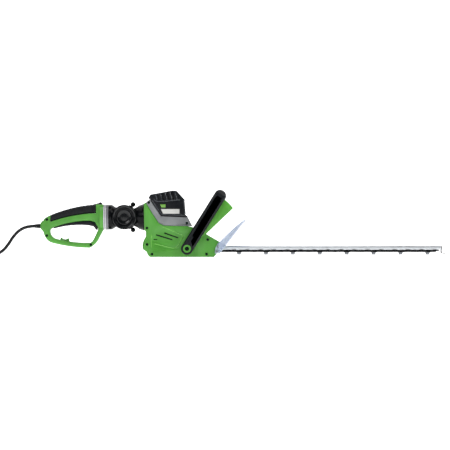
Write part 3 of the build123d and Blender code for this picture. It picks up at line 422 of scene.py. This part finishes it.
# %% Outline helpers, all in millimetres seen from the side as (X, Z)
def bow(first, middle, last, steps=6):
    """Points of the arc through three points, without its last point."""
    (ax, az), (bx, bz), (cx, cz) = first, middle, last
    d = 2 * (ax * (bz - cz) + bx * (cz - az) + cx * (az - bz))
    a2, b2, c2 = ax**2 + az**2, bx**2 + bz**2, cx**2 + cz**2
    x = (a2 * (bz - cz) + b2 * (cz - az) + c2 * (az - bz)) / d
    z = (a2 * (cx - bx) + b2 * (ax - cx) + c2 * (bx - ax)) / d
    r = math.hypot(ax - x, az - z)
    start, stop = math.atan2(az - z, ax - x), math.atan2(cz - z, cx - x)
    sweep = (stop - start + math.pi) % (2 * math.pi) - math.pi
    return [(x + r * math.cos(start + sweep * i / steps), z + r * math.sin(start + sweep * i / steps))
            for i in range(steps)]


def round_corners(points, corner_r, gentle_r=300.0):
    """A closed outline with an arc at each corner: corner_r where it turns hard, larger where gentle."""
    made = []
    count = len(points)
    for i in range(count):
        here = Vector(points[i])
        back, ahead = Vector(points[i - 1]) - here, Vector(points[(i + 1) % count]) - here
        turn = math.pi - back.angle(ahead)
        if turn < 0.01:
            made.append(tuple(here))
            continue
        wanted = corner_r if turn > math.radians(30) else gentle_r
        reach = min(wanted * math.tan(turn / 2), 0.47 * min(back.length, ahead.length))
        start, stop = here + back.normalized() * reach, here + ahead.normalized() * reach
        steps = max(2, math.ceil(math.degrees(turn) / 9))
        for k in range(steps + 1):
            t = k / steps
            # A rational curve whose middle weight is the cosine of half the turn is a true arc.
            w = math.cos(turn / 2)
            a, b, c = (1 - t) ** 2, 2 * t * (1 - t) * w, t**2
            made.append(tuple((start * a + here * b + stop * c) / (a + b + c)))
    return made


def round_plate(name, loops, half_mm, edge_mm, steps=4):
    """A plate along Y with its middle at Y = 0 whose outlines, holes too, have round edges."""
    curve = bpy.data.curves.new(name, "CURVE")
    curve.dimensions, curve.fill_mode = "2D", "BOTH"
    curve.extrude, curve.bevel_depth = (half_mm - edge_mm) * MM, edge_mm * MM
    curve.offset, curve.bevel_resolution = -edge_mm * MM, steps
    for loop in loops:
        spline = curve.splines.new("POLY")
        spline.points.add(len(loop) - 1)
        spline.points.foreach_set("co", [c for x, z in loop for c in (x * MM, z * MM, 0, 1)])
        spline.use_cyclic_u = True
    holder = bpy.data.objects.new(name, curve)
    bpy.context.collection.objects.link(holder)
    bpy.context.view_layer.update()
    mesh = bpy.data.meshes.new_from_object(holder.evaluated_get(bpy.context.evaluated_depsgraph_get()))
    bpy.data.objects.remove(holder)
    mesh.transform(Matrix.Rotation(math.pi / 2, 4, "X"))
    shape = bmesh.new()
    shape.from_mesh(mesh)
    bmesh.ops.remove_doubles(shape, verts=shape.verts, dist=0.003 * MM)
    bmesh.ops.recalc_face_normals(shape, faces=shape.faces)
    return from_bmesh(name, shape)


def mirrored(made):
    """Moves a mesh to the tool's other side."""
    made.data.transform(Matrix.Scale(-1, 4, (0, 1, 0)))
    made.data.flip_normals()
    return made


def prism(name, points, y_low, y_high, grow=1.0):
    """A straight prism of an outline along Y; grow scales the outline at its -Y end."""
    shape = bmesh.new()
    middle = sum((Vector(p) for p in points), Vector((0, 0))) / len(points)
    rings = []
    for y, scale in ((y_low, grow), (y_high, 1.0)):
        flat = [middle + (Vector(p) - middle) * scale for p in points]
        rings.append([shape.verts.new((p.x * MM, y * MM, p.y * MM)) for p in flat])
    shape.faces.new(rings[0])
    shape.faces.new(list(reversed(rings[1])))
    for i in range(len(points)):
        j = (i + 1) % len(points)
        shape.faces.new((rings[0][i], rings[1][i], rings[1][j], rings[0][j]))
    bmesh.ops.recalc_face_normals(shape, faces=shape.faces)
    return from_bmesh(name, shape)


def lathe(name, profile, origin, axis="X", steps=64):
    """Turns a closed profile of (along, radius) in mm around an axis through origin."""
    shape = bmesh.new()
    rings = []
    for along, r in profile:
        ring = []
        for i in range(steps):
            a = 2 * math.pi * i / steps
            p = (along, r * math.cos(a), r * math.sin(a))
            p = p if axis == "X" else (p[2], p[0], p[1])
            ring.append(shape.verts.new([(p[k] + origin[k]) * MM for k in range(3)]))
        rings.append(ring)
    for before, after in zip(rings, rings[1:] + rings[:1]):
        for i in range(steps):
            j = (i + 1) % steps
            shape.faces.new((before[i], after[i], after[j], before[j]))
    bmesh.ops.remove_doubles(shape, verts=shape.verts, dist=0.003 * MM)
    bmesh.ops.recalc_face_normals(shape, faces=shape.faces)
    return from_bmesh(name, shape)


def side_plate(name, points, way, inner, outer, round_mm):
    """A plate between two distances from the tool's middle, on one side, with soft edges."""
    return soften_edges(prism(name, points, *sorted((way * inner, way * outer))), round_mm)


print("shape helpers ready")

# %% [markdown]
# ## The lead and its plug
# A rubber-sheathed lead of 8 mm leaves the boot at the back of the handle, falls to the
# floor and lies along it to its plug. It is a NURBS curve through the route of the CAD tube.

# %% Lead
lead_route = [
    (-384, 0, 80), (-402, 0, 79.4), (-423, 0, 70.5), (-440, 0, 53), (-453, 0, 32), (-468, 0, 14),
    (-490, 1, 4), (-516, 8, 4), (-540, 25, 4), (-553, 51, 4), (-557, 80, 4), (-556, 110, 5.5),
    (-558, 138, 8.2),
]
lead_curve = bpy.data.curves.new("mains_lead", "CURVE")
lead_curve.dimensions = "3D"
lead_curve.bevel_depth, lead_curve.bevel_resolution = 4.0 * MM, 8
lead_curve.use_fill_caps = True
lead_line = lead_curve.splines.new("NURBS")
lead_line.points.add(len(lead_route) - 1)
for point, place in zip(lead_line.points, lead_route):
    point.co = (*[value * MM for value in place], 1)
lead_line.order_u = 3
lead_line.use_endpoint_u = True
lead_line.resolution_u = 12
lead = bpy.data.objects.new("mains_lead", lead_curve)
bpy.context.collection.objects.link(lead)
lead.data.materials.append(sheath_rubber)
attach(lead, "rear_handle")
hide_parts("power_cord")
print("lead length", round(lead_line.calc_length() / MM), "mm")

# %% [markdown]
# The boot is a tapered bellows: rings with grooves between them let it bend without a
# kink. A lathe profile that rises and falls along its length gives the rings.

# %% Boot and plug
ring_count, ring_pitch, ring_taper = 7, 3.1, 0.22
boot_profile = [(-356, 4.1), (-356, 8.2), (-360, 8.2), (-360, 6.7)]
for i in range(ring_count):
    x = -361.5 - ring_pitch * i
    r = 6.7 - ring_taper * i
    boot_profile += [(x, r), (x - 1.4, r), (x - 1.8, r - 1.0), (x - 2.7, r - 1.0)]
boot_profile += [(-383.6, 4.9), (-384, 4.5), (-384, 4.1)]
boot = lathe("cord_boot_ribbed", boot_profile, (0, 0, 80.0), steps=40)
settle(boot, "rear_handle", sheath_rubber, ["cord_boot"])
plug = soften_edges(closed_copy("plug_body", "mains_plug"), 0.3)
settle(plug, "rear_handle", black_nylon, ["mains_plug"])
pins = soften_edges(closed_copy("plug_pins_rounded", "plug_pins"), 0.9, 4)
settle(pins, "rear_handle", nickelled_brass, ["plug_pins"])

# %% [markdown]
# ## The rear handle
# The D handle is two green shells screwed together. Seen from its end it is nearly an
# oval, so its edges carry a 5 mm round. The flange at its front and the cord hook on its
# lower bar stand outside that round, so they are joined to the rounding solid first.

# %% Handle shells
handle_outline = round_corners(
    bow((-342, 109), (-284, 127.8), (-224, 136.4))
    + [(-224, 136.4), (-196, 136.2), (-196, 71), (-205, 71), (-223, 36)]
    + bow((-240, 23.6), (-290, 27), (-330, 34.5)) + bow((-330, 34.5), (-349, 42), (-358, 55), 3)
    + [(-358, 55), (-361.5, 66), (-368.5, 74), (-368.5, 87), (-359, 99.5)], 5.6)
opening_outline = round_corners(
    bow((-335, 76.5), (-289, 89.4), (-240, 94)) + [(-240, 94), (-228, 90), (-219, 77), (-220, 68), (-229, 48)]
    + bow((-238, 36.6), (-290, 39.5), (-326, 46.5)) + bow((-326, 46.5), (-341, 57), (-343, 70), 3)
    + [(-343, 71)], 5.6)
for side_name, _ in sides:
    round_solid = round_plate("handle_round", [handle_outline, opening_outline], 17.02, 5.0)
    flange = lathe("flange", [(-216, 0.01), (-216, 32.45), (-204, 32.45), (-204, 0.01)], (0, 0, 103.0))
    hook = prism("hook", [(-321, 41), (-321, 53), (-287, 53), (-287, 37)], -6.05, 6.05)
    combine(round_solid, [flange, hook], "UNION")
    shell = closed_copy("handle_shell_" + side_name, "rear_handle_" + side_name)
    combine(shell, [round_solid], "INTERSECT")
    settle(shell, "rear_handle", green_nylon, ["rear_handle_" + side_name])


# %% [markdown]
# ## The soft grip
# The grip is rubber moulded over the top of the handle. Its section is a squashed circle
# that changes along its length, so rings are drawn at stations from back to front and
# joined. Every so often the rubber has a shallow valley, where the fingers find hold.

# %% Grip
grip_top = [(-342, 109), (-284, 127.8), (-224, 136.4)]
grip_low = [(-343, 90.5), (-283.5, 106.4), (-224, 113)]


def arc_height(points, x):
    """Height at x of the smooth curve through three points."""
    return float(np.polyval(np.polyfit([p[0] for p in points], [p[1] for p in points], 2), x))


grip_x_rear, grip_x_front, grip_half = -342.4, -224.3, 18.2
valley_count, valley_mm, end_round = 13, 0.7, 1.6
rear_share, front_share = 0.03, 0.012   # how much of the length each rounded end takes
grip_shape = bmesh.new()
grip_rings = []
stations, around = 132, 56
for i in range(stations + 1):
    t = i / stations
    x = grip_x_rear + (grip_x_front - grip_x_rear) * t
    top, low = arc_height(grip_top, x) - 0.15, arc_height(grip_low, x) + 0.15
    end = min(1.0, t / rear_share, (1 - t) / front_share)
    inset = end_round * (1 - math.sqrt(max(0.0, 1 - (1 - end) ** 2)))
    valley = valley_mm * max(0.0, math.cos(2 * math.pi * valley_count * t)) ** 6 * end
    ring = []
    for k in range(around):
        a = 2 * math.pi * k / around
        c, s = math.cos(a), math.sin(a)
        half_y, half_z = grip_half - inset - valley, (top - low) / 2 - inset
        y = half_y * math.copysign(abs(c) ** 0.55, c)
        z = half_z * math.copysign(abs(s) ** 0.62, s)
        z -= valley * max(0.0, s)
        ring.append(grip_shape.verts.new((x * MM, y * MM, ((top + low) / 2 + z) * MM)))
    grip_rings.append(ring)
for before, after in zip(grip_rings, grip_rings[1:]):
    for k in range(around):
        j = (k + 1) % around
        grip_shape.faces.new((before[k], before[j], after[j], after[k]))
grip_shape.faces.new(grip_rings[0])
grip_shape.faces.new(grip_rings[-1])
grip = from_bmesh("soft_grip", grip_shape)
latch_slot = prism("latch_slot", [(-236.5, 129.5), (-236.5, 145), (-200, 145), (-200, 129.5)], -6.4, 6.4)
combine(grip, [latch_slot])
settle(grip, "rear_handle", grip_rubber, ["rear_grip"], 50)

# %% [markdown]
# The trigger, the latch and the swivel's turned pieces keep the CAD shapes, with their
# edges rounded as a mould or a lathe leaves them.

# %% Softened CAD pieces
softened = [
    # name, CAD part, body, slot, finish, edge round in mm
    ("trigger_lever", "rear_trigger", "trigger", "black_shell", black_nylon, 1.6),
    ("latch_slider", "twist_latch", "latch", "black_shell", black_nylon, 0.7),
    ("collar_ring", "swivel_collar", "tilt_arm", "grey_collar", silver_abs, 0.3),
    ("arm_shell_right", "rear_arm_right", "tilt_arm", "black_gloss", black_acetal, 0.6),
    ("arm_shell_left", "rear_arm_left", "tilt_arm", "black_gloss", black_acetal, 0.6),
    ("knob_upper", "lock_plunger_upper", "plunger_up", "black_gloss", black_acetal, 0.3),
    ("knob_lower", "lock_plunger_lower", "plunger_down", "black_gloss", black_acetal, 0.3),
    ("switch_lever", "front_switch_lever", "front_lever", "green_lever", green_lever_nylon, 1.8),
    ("tip_guard_rounded", "blade_tip_guard", "motor_unit", "black_shell", black_nylon, 0.5),
    ("rail_extrusion", "guide_rail", "motor_unit", "rail_metal", extruded_aluminium, 0.5),
    ("blade_upper_ground", "upper_blade", "blade_upper", "blade_steel", blackened_steel, 0.7),
    ("blade_lower_ground", "lower_blade", "blade_lower", "blade_steel", blackened_steel, 0.7),
    ("nuts_and_bolts", "blade_bolts", "motor_unit", "fastener_steel", zinc_steel, 0.5),
    ("guard_clear", "hand_guard", "motor_unit", "clear_guard", clear_guard, 0.7),
    ("pivot_hub_cap", "pivot_cap", "motor_unit", "black_gloss", black_acetal, 0.5),
]
for name, node_name, body, slot_name, finish, round_mm in softened:
    piece = soften_edges(closed_copy(name, node_name), round_mm)
    settle(piece, body, finish, [node_name])


# %% [markdown]
# ## The motor housing
# The two green shells get a 3 mm round from their outline. Each side carries a shallow
# sunk panel around its vents. A mould makes such a panel with sloping walls, so the
# cutter is a little larger at the surface than at its floor. The bosses under the bail's
# arms stand outside the round, so they are joined to the rounding solid first.

# %% Housing shells
housing_outline = round_corners([
    (-83, 0), (82, 0), (94, 14.6), (99.5, 37.4), (60, 60), (25, 79.4), (-47, 81.1), (-61, 88), (-77, 112),
    (-86, 128), (-80, 150), (-112, 150), (-104, 128), (-98.2, 70.5), (-94.2, 66), (-94.2, 52.5), (-100, 42.6),
    (-103, 30), (-101, 19), (-93, 14.6), (-88, 3.6)], 3.4, 60.0)
panel_outline = round_corners(
    [(-72, 62), (-50, 77), (0, 57.5), (2.5, 52), (-12, 26), (-20, 22.4), (-70, 34), (-76, 42)], 5.0, 20.0)
housing_half, panel_depth, panel_draft = 45.0, 1.1, 1.07
for side_name, way in sides:
    round_solid = round_plate("housing_round", [housing_outline], housing_half + 0.02, 3.0)
    bosses = lathe("bosses", [(-72, 0.01), (-72, 15.1), (72, 15.1), (72, 0.01)], (12.7, 0, 21.6), "Y")
    combine(round_solid, [bosses], "UNION")
    shell = closed_copy("housing_shell_" + side_name, "motor_housing_" + side_name)
    combine(shell, [round_solid], "INTERSECT")
    pocket = prism("pocket", panel_outline, -housing_half - 0.4, -housing_half + panel_depth, panel_draft)
    combine(shell, [pocket if way < 0 else mirrored(pocket)])
    settle(shell, "motor_unit", green_nylon, ["motor_housing_" + side_name])

# %% [markdown]
# A raised line follows the panel's edges, as a swage does on a pressed panel. It catches
# the light and stiffens the thin wall. The trim band and the cover carry lines of the same
# kind, so one small tree of Geometry Nodes sweeps a round bead along any drawn lines.

# %% Starting and closing a tree
def start_tree(name, **inputs):
    """A Geometry Nodes tree with a mesh, the named inputs and a finish going in."""
    tree = bpy.data.node_groups.new(name, "GeometryNodeTree")
    for socket, kind in {"Geometry": "Geometry", **inputs, "Finish": "Material"}.items():
        tree.interface.new_socket(socket, in_out="INPUT", socket_type="NodeSocket" + kind)
    tree.interface.new_socket("Geometry", in_out="OUTPUT", socket_type="NodeSocketGeometry")
    return tree, add_node(tree, "NodeGroupInput")


def close_tree(tree, inside, made):
    """Ends a tree: instances made real, then the finish set."""
    real = add_node(tree, "GeometryNodeRealizeInstances", {"Geometry": made})
    painted = add_node(tree, "GeometryNodeSetMaterial",
                       {"Geometry": real.outputs["Geometry"], "Material": inside.outputs["Finish"]})
    add_node(tree, "NodeGroupOutput", {"Geometry": painted.outputs["Geometry"]})
    return tree


def run_tree(made, tree, **values):
    """Runs a tree on an object, its inputs set by their identifiers, and keeps the result."""
    step = made.modifiers.new(tree.name, "NODES")
    step.node_group = tree
    for item in tree.interface.items_tree:
        if item.in_out == "INPUT" and item.name in values:
            step[item.identifier] = values[item.name]
    return bake_modifiers(made)


# %% Bead tree
def bead_tree():
    """Geometry Nodes that turn edges into round beads of a given radius."""
    tree, inside = start_tree("beads_along_lines", Radius="Float")
    lines = add_node(tree, "GeometryNodeMeshToCurve", {"Mesh": inside.outputs["Geometry"]})
    section = add_node(tree, "GeometryNodeCurvePrimitiveCircle", {"Radius": inside.outputs["Radius"]},
                       {"Resolution": 10})
    swept = add_node(tree, "GeometryNodeCurveToMesh",
                     {"Curve": lines.outputs["Curve"], "Profile Curve": section.outputs["Curve"]},
                     {"Fill Caps": True})
    return close_tree(tree, inside, swept.outputs["Mesh"])


bead_nodes = bead_tree()


def beads(name, lines, radius_mm, body, finish):
    """Round beads along lines of (X, Y, Z) points in mm."""
    shape = bmesh.new()
    for line in lines:
        spots = [shape.verts.new([c * MM for c in p]) for p in line]
        for a, b in zip(spots, spots[1:]):
            shape.edges.new((a, b))
    made = run_tree(from_bmesh(name, shape), bead_nodes, Radius=radius_mm * MM, Finish=finish)
    return settle(made, body, finish, smooth_angle=60)


# %% Panel lines
panel_lines = []
for _, way in sides:
    y = way * 44.7
    panel_lines.append([
        (-71, y, 34.6), (-48, y, 28.4), (-25, y, 22.8), (-18, y, 23.2), (-12, y, 28),
        (1.5, y, 52), (0.5, y, 56.8), (-25, y, 67.6), (-51, y, 78.4)])
    panel_lines.append([(-78, y, 58), (-80.5, y, 40), (-79, y, 24)])
# The beads take the lighter green, a painted highlight along the panel's edges.
beads("panel_lines", panel_lines, 1.25, "motor_unit", green_ridge_painted_highlight)

# %% [markdown]
# A dark plate stands in the middle of the housing, and dark plates stand behind the vents, behind the seams
# around the band, and behind the cover's louvres. They are painted shade, dark sheets where the inside of the
# housing lies in shade, so no light falls straight through the tool.

# %% Dark shade plates behind the openings
# A dark plate that stands for the shade inside the housing.
shade_baffle = prism("air_baffle", [(-88, 24), (-60, 20), (-52, 58), (-52, 78), (-88, 78)], -1.0, 1.0)
settle(soften_edges(shade_baffle, 0.4), "motor_unit", black_nylon)
screens = [
    # name, outline, distances of its two faces from the tool's middle
    ("vent_screen_", [(-80, 38), (-4, 38), (-4, 70), (-80, 70)], 38.4, 39.4),
    ("seam_screen_", [(-46, 112), (-56, 104), (-36, 84), (-10, 78), (14, 78), (19, 85), (11, 103), (4, 110)],
     36.2, 37.0),
    ("dust_screen_", [(-83.5, 155.5), (-76, 143), (-1, 143), (-16.5, 168.5), (-25, 170.6), (-79, 160.6)],
     26.6, 27.6),
]
# Each plate is painted shade behind an opening.
for name, outline, inner, outer in screens:
    for side_name, way in sides:
        screen = side_plate(name + side_name, outline, way, inner, outer, 0.3)
        settle(screen, "motor_unit", black_nylon)

# %% [markdown]
# ## The grey trim band and the black motor cover
# The band has fine moulded lines along its lower run, each a bead that is half sunk in it.

# %% Trim band
for side_name, _ in sides:
    band = soften_edges(closed_copy("band_shell_" + side_name, "trim_band_" + side_name), 0.4)
    settle(band, "motor_unit", grey_abs, ["trim_band_" + side_name])
band_lines = []
band_spans = ((98.5, -20, 5.5), (94.6, -17, 7.5), (90.7, -14, 9.5), (86.8, -11, 5.5))
for _, way in sides:
    y = way * 43.0
    for z, x_start, x_end in band_spans:
        band_lines.append([(x_start, y, z), (x_end, y, z)])
    band_lines.append([(19.5, y, 85.5), (14.5, y, 96.5)])
beads("band_lines", band_lines, 0.8, "motor_unit", grey_abs)

# %% [markdown]
# The CAD cover has louvres cut through its sloping shoulder. A curved bead runs down beside
# each louvre and leans forward, and longer beads frame the grille and the cover's edges.

# %% Motor cover
cover = soften_edges(closed_copy("cover_shell", "motor_cover"), 0.45)
settle(cover, "motor_unit", black_nylon, ["motor_cover"])
cover_half, shoulder_z, shoulder_slope = 40.0, 141.0, 0.314
roof_rear_x, roof_z, roof_slope = -79, 160.9, 0.185
fin_steps, fin_step, fin_lean = 8, 2.5, 5.5
cover_lines = []
for _, way in sides:
    y = way * cover_half
    cover_lines.append([(-79, y, 147), (-53, y, 110), (9, y, 107.5)])
    cover_lines.append([(-74, y, 151), (-70, y, 145.5), (-63, y, 143.2), (-40, y, 144.4), (-6, y, 147.5)])
    cover_lines.append([(3.6, y, 146), (6.6, y, 112)])
for x in (-73, -60, -47, -34, -21):
    for _, way in sides:
        fin = []
        for k in range(fin_steps + 1):
            z = 146.5 + fin_step * k
            if z > roof_z + (x - roof_rear_x) * roof_slope:
                break
            y = cover_half - max(0.0, z - shoulder_z) * shoulder_slope + 0.1
            fin.append((x + 7.5 - fin_lean * (k / fin_steps) ** 1.5, way * y, z))
        cover_lines.append(fin)
# The ridges take the lighter black, a painted highlight on the fins' edges.
beads("cover_ridges", cover_lines, 1.2, "motor_unit", black_ridge_painted_highlight)
plates = soften_edges(closed_copy("plate_films", "rating_plates"), 0.25)
settle(plates, "motor_unit", label_film, ["rating_plates"])
chip = soften_edges(closed_copy("accent_chip", "accent_bar"), 0.25)
settle(chip, "motor_unit", accent_film, ["accent_bar"])

# %% [markdown]
# ## The bail handle
# The bail is a thick moulded hoop. Each arm has a long sunk band with rounded ends down
# its outer face, polished, between two satin rims. The band's floor is a separate glossy
# inlay, so its finish can differ from the rims.

# %% Bail
bail_eye = (12.7, 21.6)
along = Vector((math.cos(bail_angle), math.sin(bail_angle)))
across_bail = Vector((-along.y, along.x))


def long_slot(u_start, u_end, half, steps=10):
    """The outline of a slot along the bail, from u_start to u_end ahead of its eye."""
    made = []
    for centre, turn in ((u_end - half, -math.pi / 2), (u_start + half, math.pi / 2)):
        for i in range(steps + 1):
            a = turn + math.pi * i / steps
            p = Vector(bail_eye) + along * (centre + half * math.cos(a)) + across_bail * half * math.sin(a)
            made.append(tuple(p))
    return made


bail = closed_copy("bail_hoop", "bail_handle")
for _, way in sides:
    band_cut = prism("band_cut", long_slot(34, 155, 9.2), -68.6, -66.4)
    combine(bail, [band_cut if way < 0 else mirrored(band_cut)])
soften_edges(bail, 0.5)
settle(bail, "motor_unit", black_nylon, ["bail_handle"])
# Each inlay's grey ends are painted highlight.
for side_name, way in sides:
    inlay = side_plate("bail_inlay_" + side_name, long_slot(34.3, 154.7, 8.9), way, 66.2, 67.0, 0.35)
    settle(inlay, "motor_unit", inlay_acetal_painted_highlight)

# %% [markdown]
# ## The tilting joint
# The neck is turned, with steps and a polished flare. On each side of the pivot stands a
# glossy rim ring, and on the right a dished release button.

# %% Neck and button
pivot_centre = (-150.5, 0, 103.0)
neck = soften_edges(closed_copy("neck_turned", "joint_neck"), 0.5)
settle(neck, "motor_unit", black_acetal, ["joint_neck"])
rim_profile = [(27.8, 25.4), (27.8, 31.2), (28.2, 31.6), (28.7, 31.1),
               (29.0, 30.0), (29.0, 28.6), (28.7, 27.2), (28.2, 26.0)]
for side_name, way in sides:
    rim = lathe("pivot_rim_" + side_name, rim_profile, pivot_centre, "Y", 96)
    settle(mirrored(rim) if way < 0 else rim, "motor_unit", black_polished, smooth_angle=60)
button = lathe("button_dished", [
    (-23.8, 0.01), (-23.8, 19.6), (-27.6, 19.6), (-28.4, 19.0), (-28.6, 17.8), (-28.3, 16.4), (-27.2, 14.6),
    (-26.7, 12.0), (-26.9, 8.0), (-27.1, 4.0), (-27.15, 0.01)], pivot_centre, "Y", 96)
settle(button, "joint_button", black_polished, ["release_button"], 60)

# %% [markdown]
# The collar wears two brighter rings, which lie between its grooves.

# %% Collar stripes
stripe_low_r, stripe_high_r = 32.0, 33.1
for place, start, end in (("rear", -204.2, -201.6), ("middle", -200.0, -198.0)):
    section = [(start, stripe_low_r), (start, stripe_high_r), (end, stripe_high_r), (end, stripe_low_r)]
    stripe = lathe("collar_stripe_" + place, section, (0, 0, 103), "X", 96)
    settle(stripe, "tilt_arm", bright_abs, smooth_angle=30)

# %% [markdown]
# ## Screws
# One pan-head screw with a cross recess is modelled once. A tree of Geometry Nodes places
# it at every hole and turns each by a seeded random angle, because no one lines them up.

# %% One screw
def one_screw(name, head_r, head_h, shank_r, shank_l):
    """A pan-head screw whose head faces -Y and whose seat is at Y = 0, with ridged shank."""
    profile = [(-head_h, 0.01), (-head_h, head_r * 0.55), (-head_h * 0.82, head_r * 0.85),
               (-head_h * 0.45, head_r), (0, head_r), (0, shank_r)]
    turns = 8
    for i in range(turns):
        y = shank_l * (0.15 + 0.8 * i / turns)
        profile += [(y, shank_r * 0.8), (y + shank_l * 0.04, shank_r), (y + shank_l * 0.06, shank_r * 0.8)]
    profile += [(shank_l, shank_r * 0.3), (shank_l, 0.01)]
    screw = lathe(name, profile, (0, 0, 0), "Y", 28)
    arm, half = head_r * 0.55, head_r * 0.14
    bars = [prism("bar", [(-a, -b), (a, -b), (a, b), (-a, b)], -head_h - 0.5, -head_h * 0.35)
            for a, b in ((arm, half), (half, arm))]
    combine(bars[0], [bars[1]], "UNION")
    return combine(screw, [bars[0]])


# %% Screw tree
def screw_tree():
    """Geometry Nodes that put a screw on each point; the point's facing turns its head to -Y or +Y."""
    tree, inside = start_tree("screws_at_points", Screw="Object", Seed="Int")
    screw = add_node(tree, "GeometryNodeObjectInfo", {"Object": inside.outputs["Screw"]})
    points = add_node(tree, "GeometryNodeMeshToPoints", {"Mesh": inside.outputs["Geometry"]})
    turn = add_node(tree, "FunctionNodeRandomValue", {"Seed": inside.outputs["Seed"]},
                    {"Min": 0.0, "Max": math.pi / 2})
    facing = add_node(tree, "GeometryNodeInputNamedAttribute", None, {"Name": "facing"})
    angles = add_node(tree, "ShaderNodeCombineXYZ", {"Y": turn.outputs[1], "Z": facing.outputs["Attribute"]})
    placed = add_node(tree, "GeometryNodeInstanceOnPoints",
                      {"Points": points.outputs["Points"], "Instance": screw.outputs["Geometry"],
                       "Rotation": angles.outputs["Vector"]})
    return close_tree(tree, inside, placed.outputs["Instances"])


screw_nodes = screw_tree()
left_facing_y = 15                      # a screw whose middle lies beyond this is driven from the left


def loose_boxes(node_name):
    """The boxes, in mm, of a CAD part's separate solids."""
    shape = bmesh.new()
    shape.from_mesh(frame["nodes"][node_name].data)
    bmesh.ops.remove_doubles(shape, verts=shape.verts, dist=0.002 * MM)
    left, boxes = set(shape.verts), []
    while left:
        group, todo = set(), [left.pop()]
        while todo:
            vert = todo.pop()
            group.add(vert)
            for edge in vert.link_edges:
                other = edge.other_vert(vert)
                if other in left:
                    left.discard(other)
                    todo.append(other)
        spots = np.array([v.co for v in group]) / MM
        boxes.append((spots.min(0), spots.max(0)))
    shape.free()
    return sorted(boxes, key=lambda box: tuple(box[0]))


def screw_set(name, node_name, body, head_r, head_h, shank_r, seed, finish, slot):
    """Detailed screws in place of a CAD part's plain ones."""
    boxes = loose_boxes(node_name)
    length = boxes[0][1][1] - boxes[0][0][1] - head_h
    screw = one_screw(name + "_one", head_r, head_h, shank_r, length)
    spots = bpy.data.meshes.new(name)
    places, facings = [], []
    for low, high in boxes:
        middle = (low + high) / 2
        faces_left = middle[1] > left_facing_y
        y = high[1] - head_h if faces_left else low[1] + head_h
        places.append((middle[0] * MM, y * MM, middle[2] * MM))
        facings.append(math.pi if faces_left else 0.0)
    spots.from_pydata(places, [], [])
    spots.attributes.new("facing", "FLOAT", "POINT").data.foreach_set("value", facings)
    made = run_tree(link_mesh(name, spots), screw_nodes, Screw=screw, Seed=seed, Finish=finish)
    bpy.data.objects.remove(screw)
    return settle(made, body, finish, [node_name], 40)


# %% All screws
small_screw, guard_screw, bail_screw = (3.4, 2.2, 1.6), (3.4, 2.1, 1.6), (5.3, 3.4, 3.0)
screw_sets = [
    # group, body, head radius, head height and shank radius in mm, seed, finish, slot
    ("housing", "motor_unit", small_screw, 3, oxide_steel, "dark_screw"),
    ("trim", "motor_unit", small_screw, 5, oxide_steel, "dark_screw"),
    ("handle", "rear_handle", small_screw, 7, oxide_steel, "dark_screw"),
    ("arm", "tilt_arm", small_screw, 9, oxide_steel, "dark_screw"),
    ("guard", "motor_unit", guard_screw, 11, zinc_steel, "fastener_steel"),
    ("bail", "motor_unit", bail_screw, 13, oxide_steel, "dark_screw"),
]
for group, body, sizes, seed, finish, slot in screw_sets:
    screw_set(group + "_screw_set", group + "_screws", body, *sizes, seed, finish, slot)
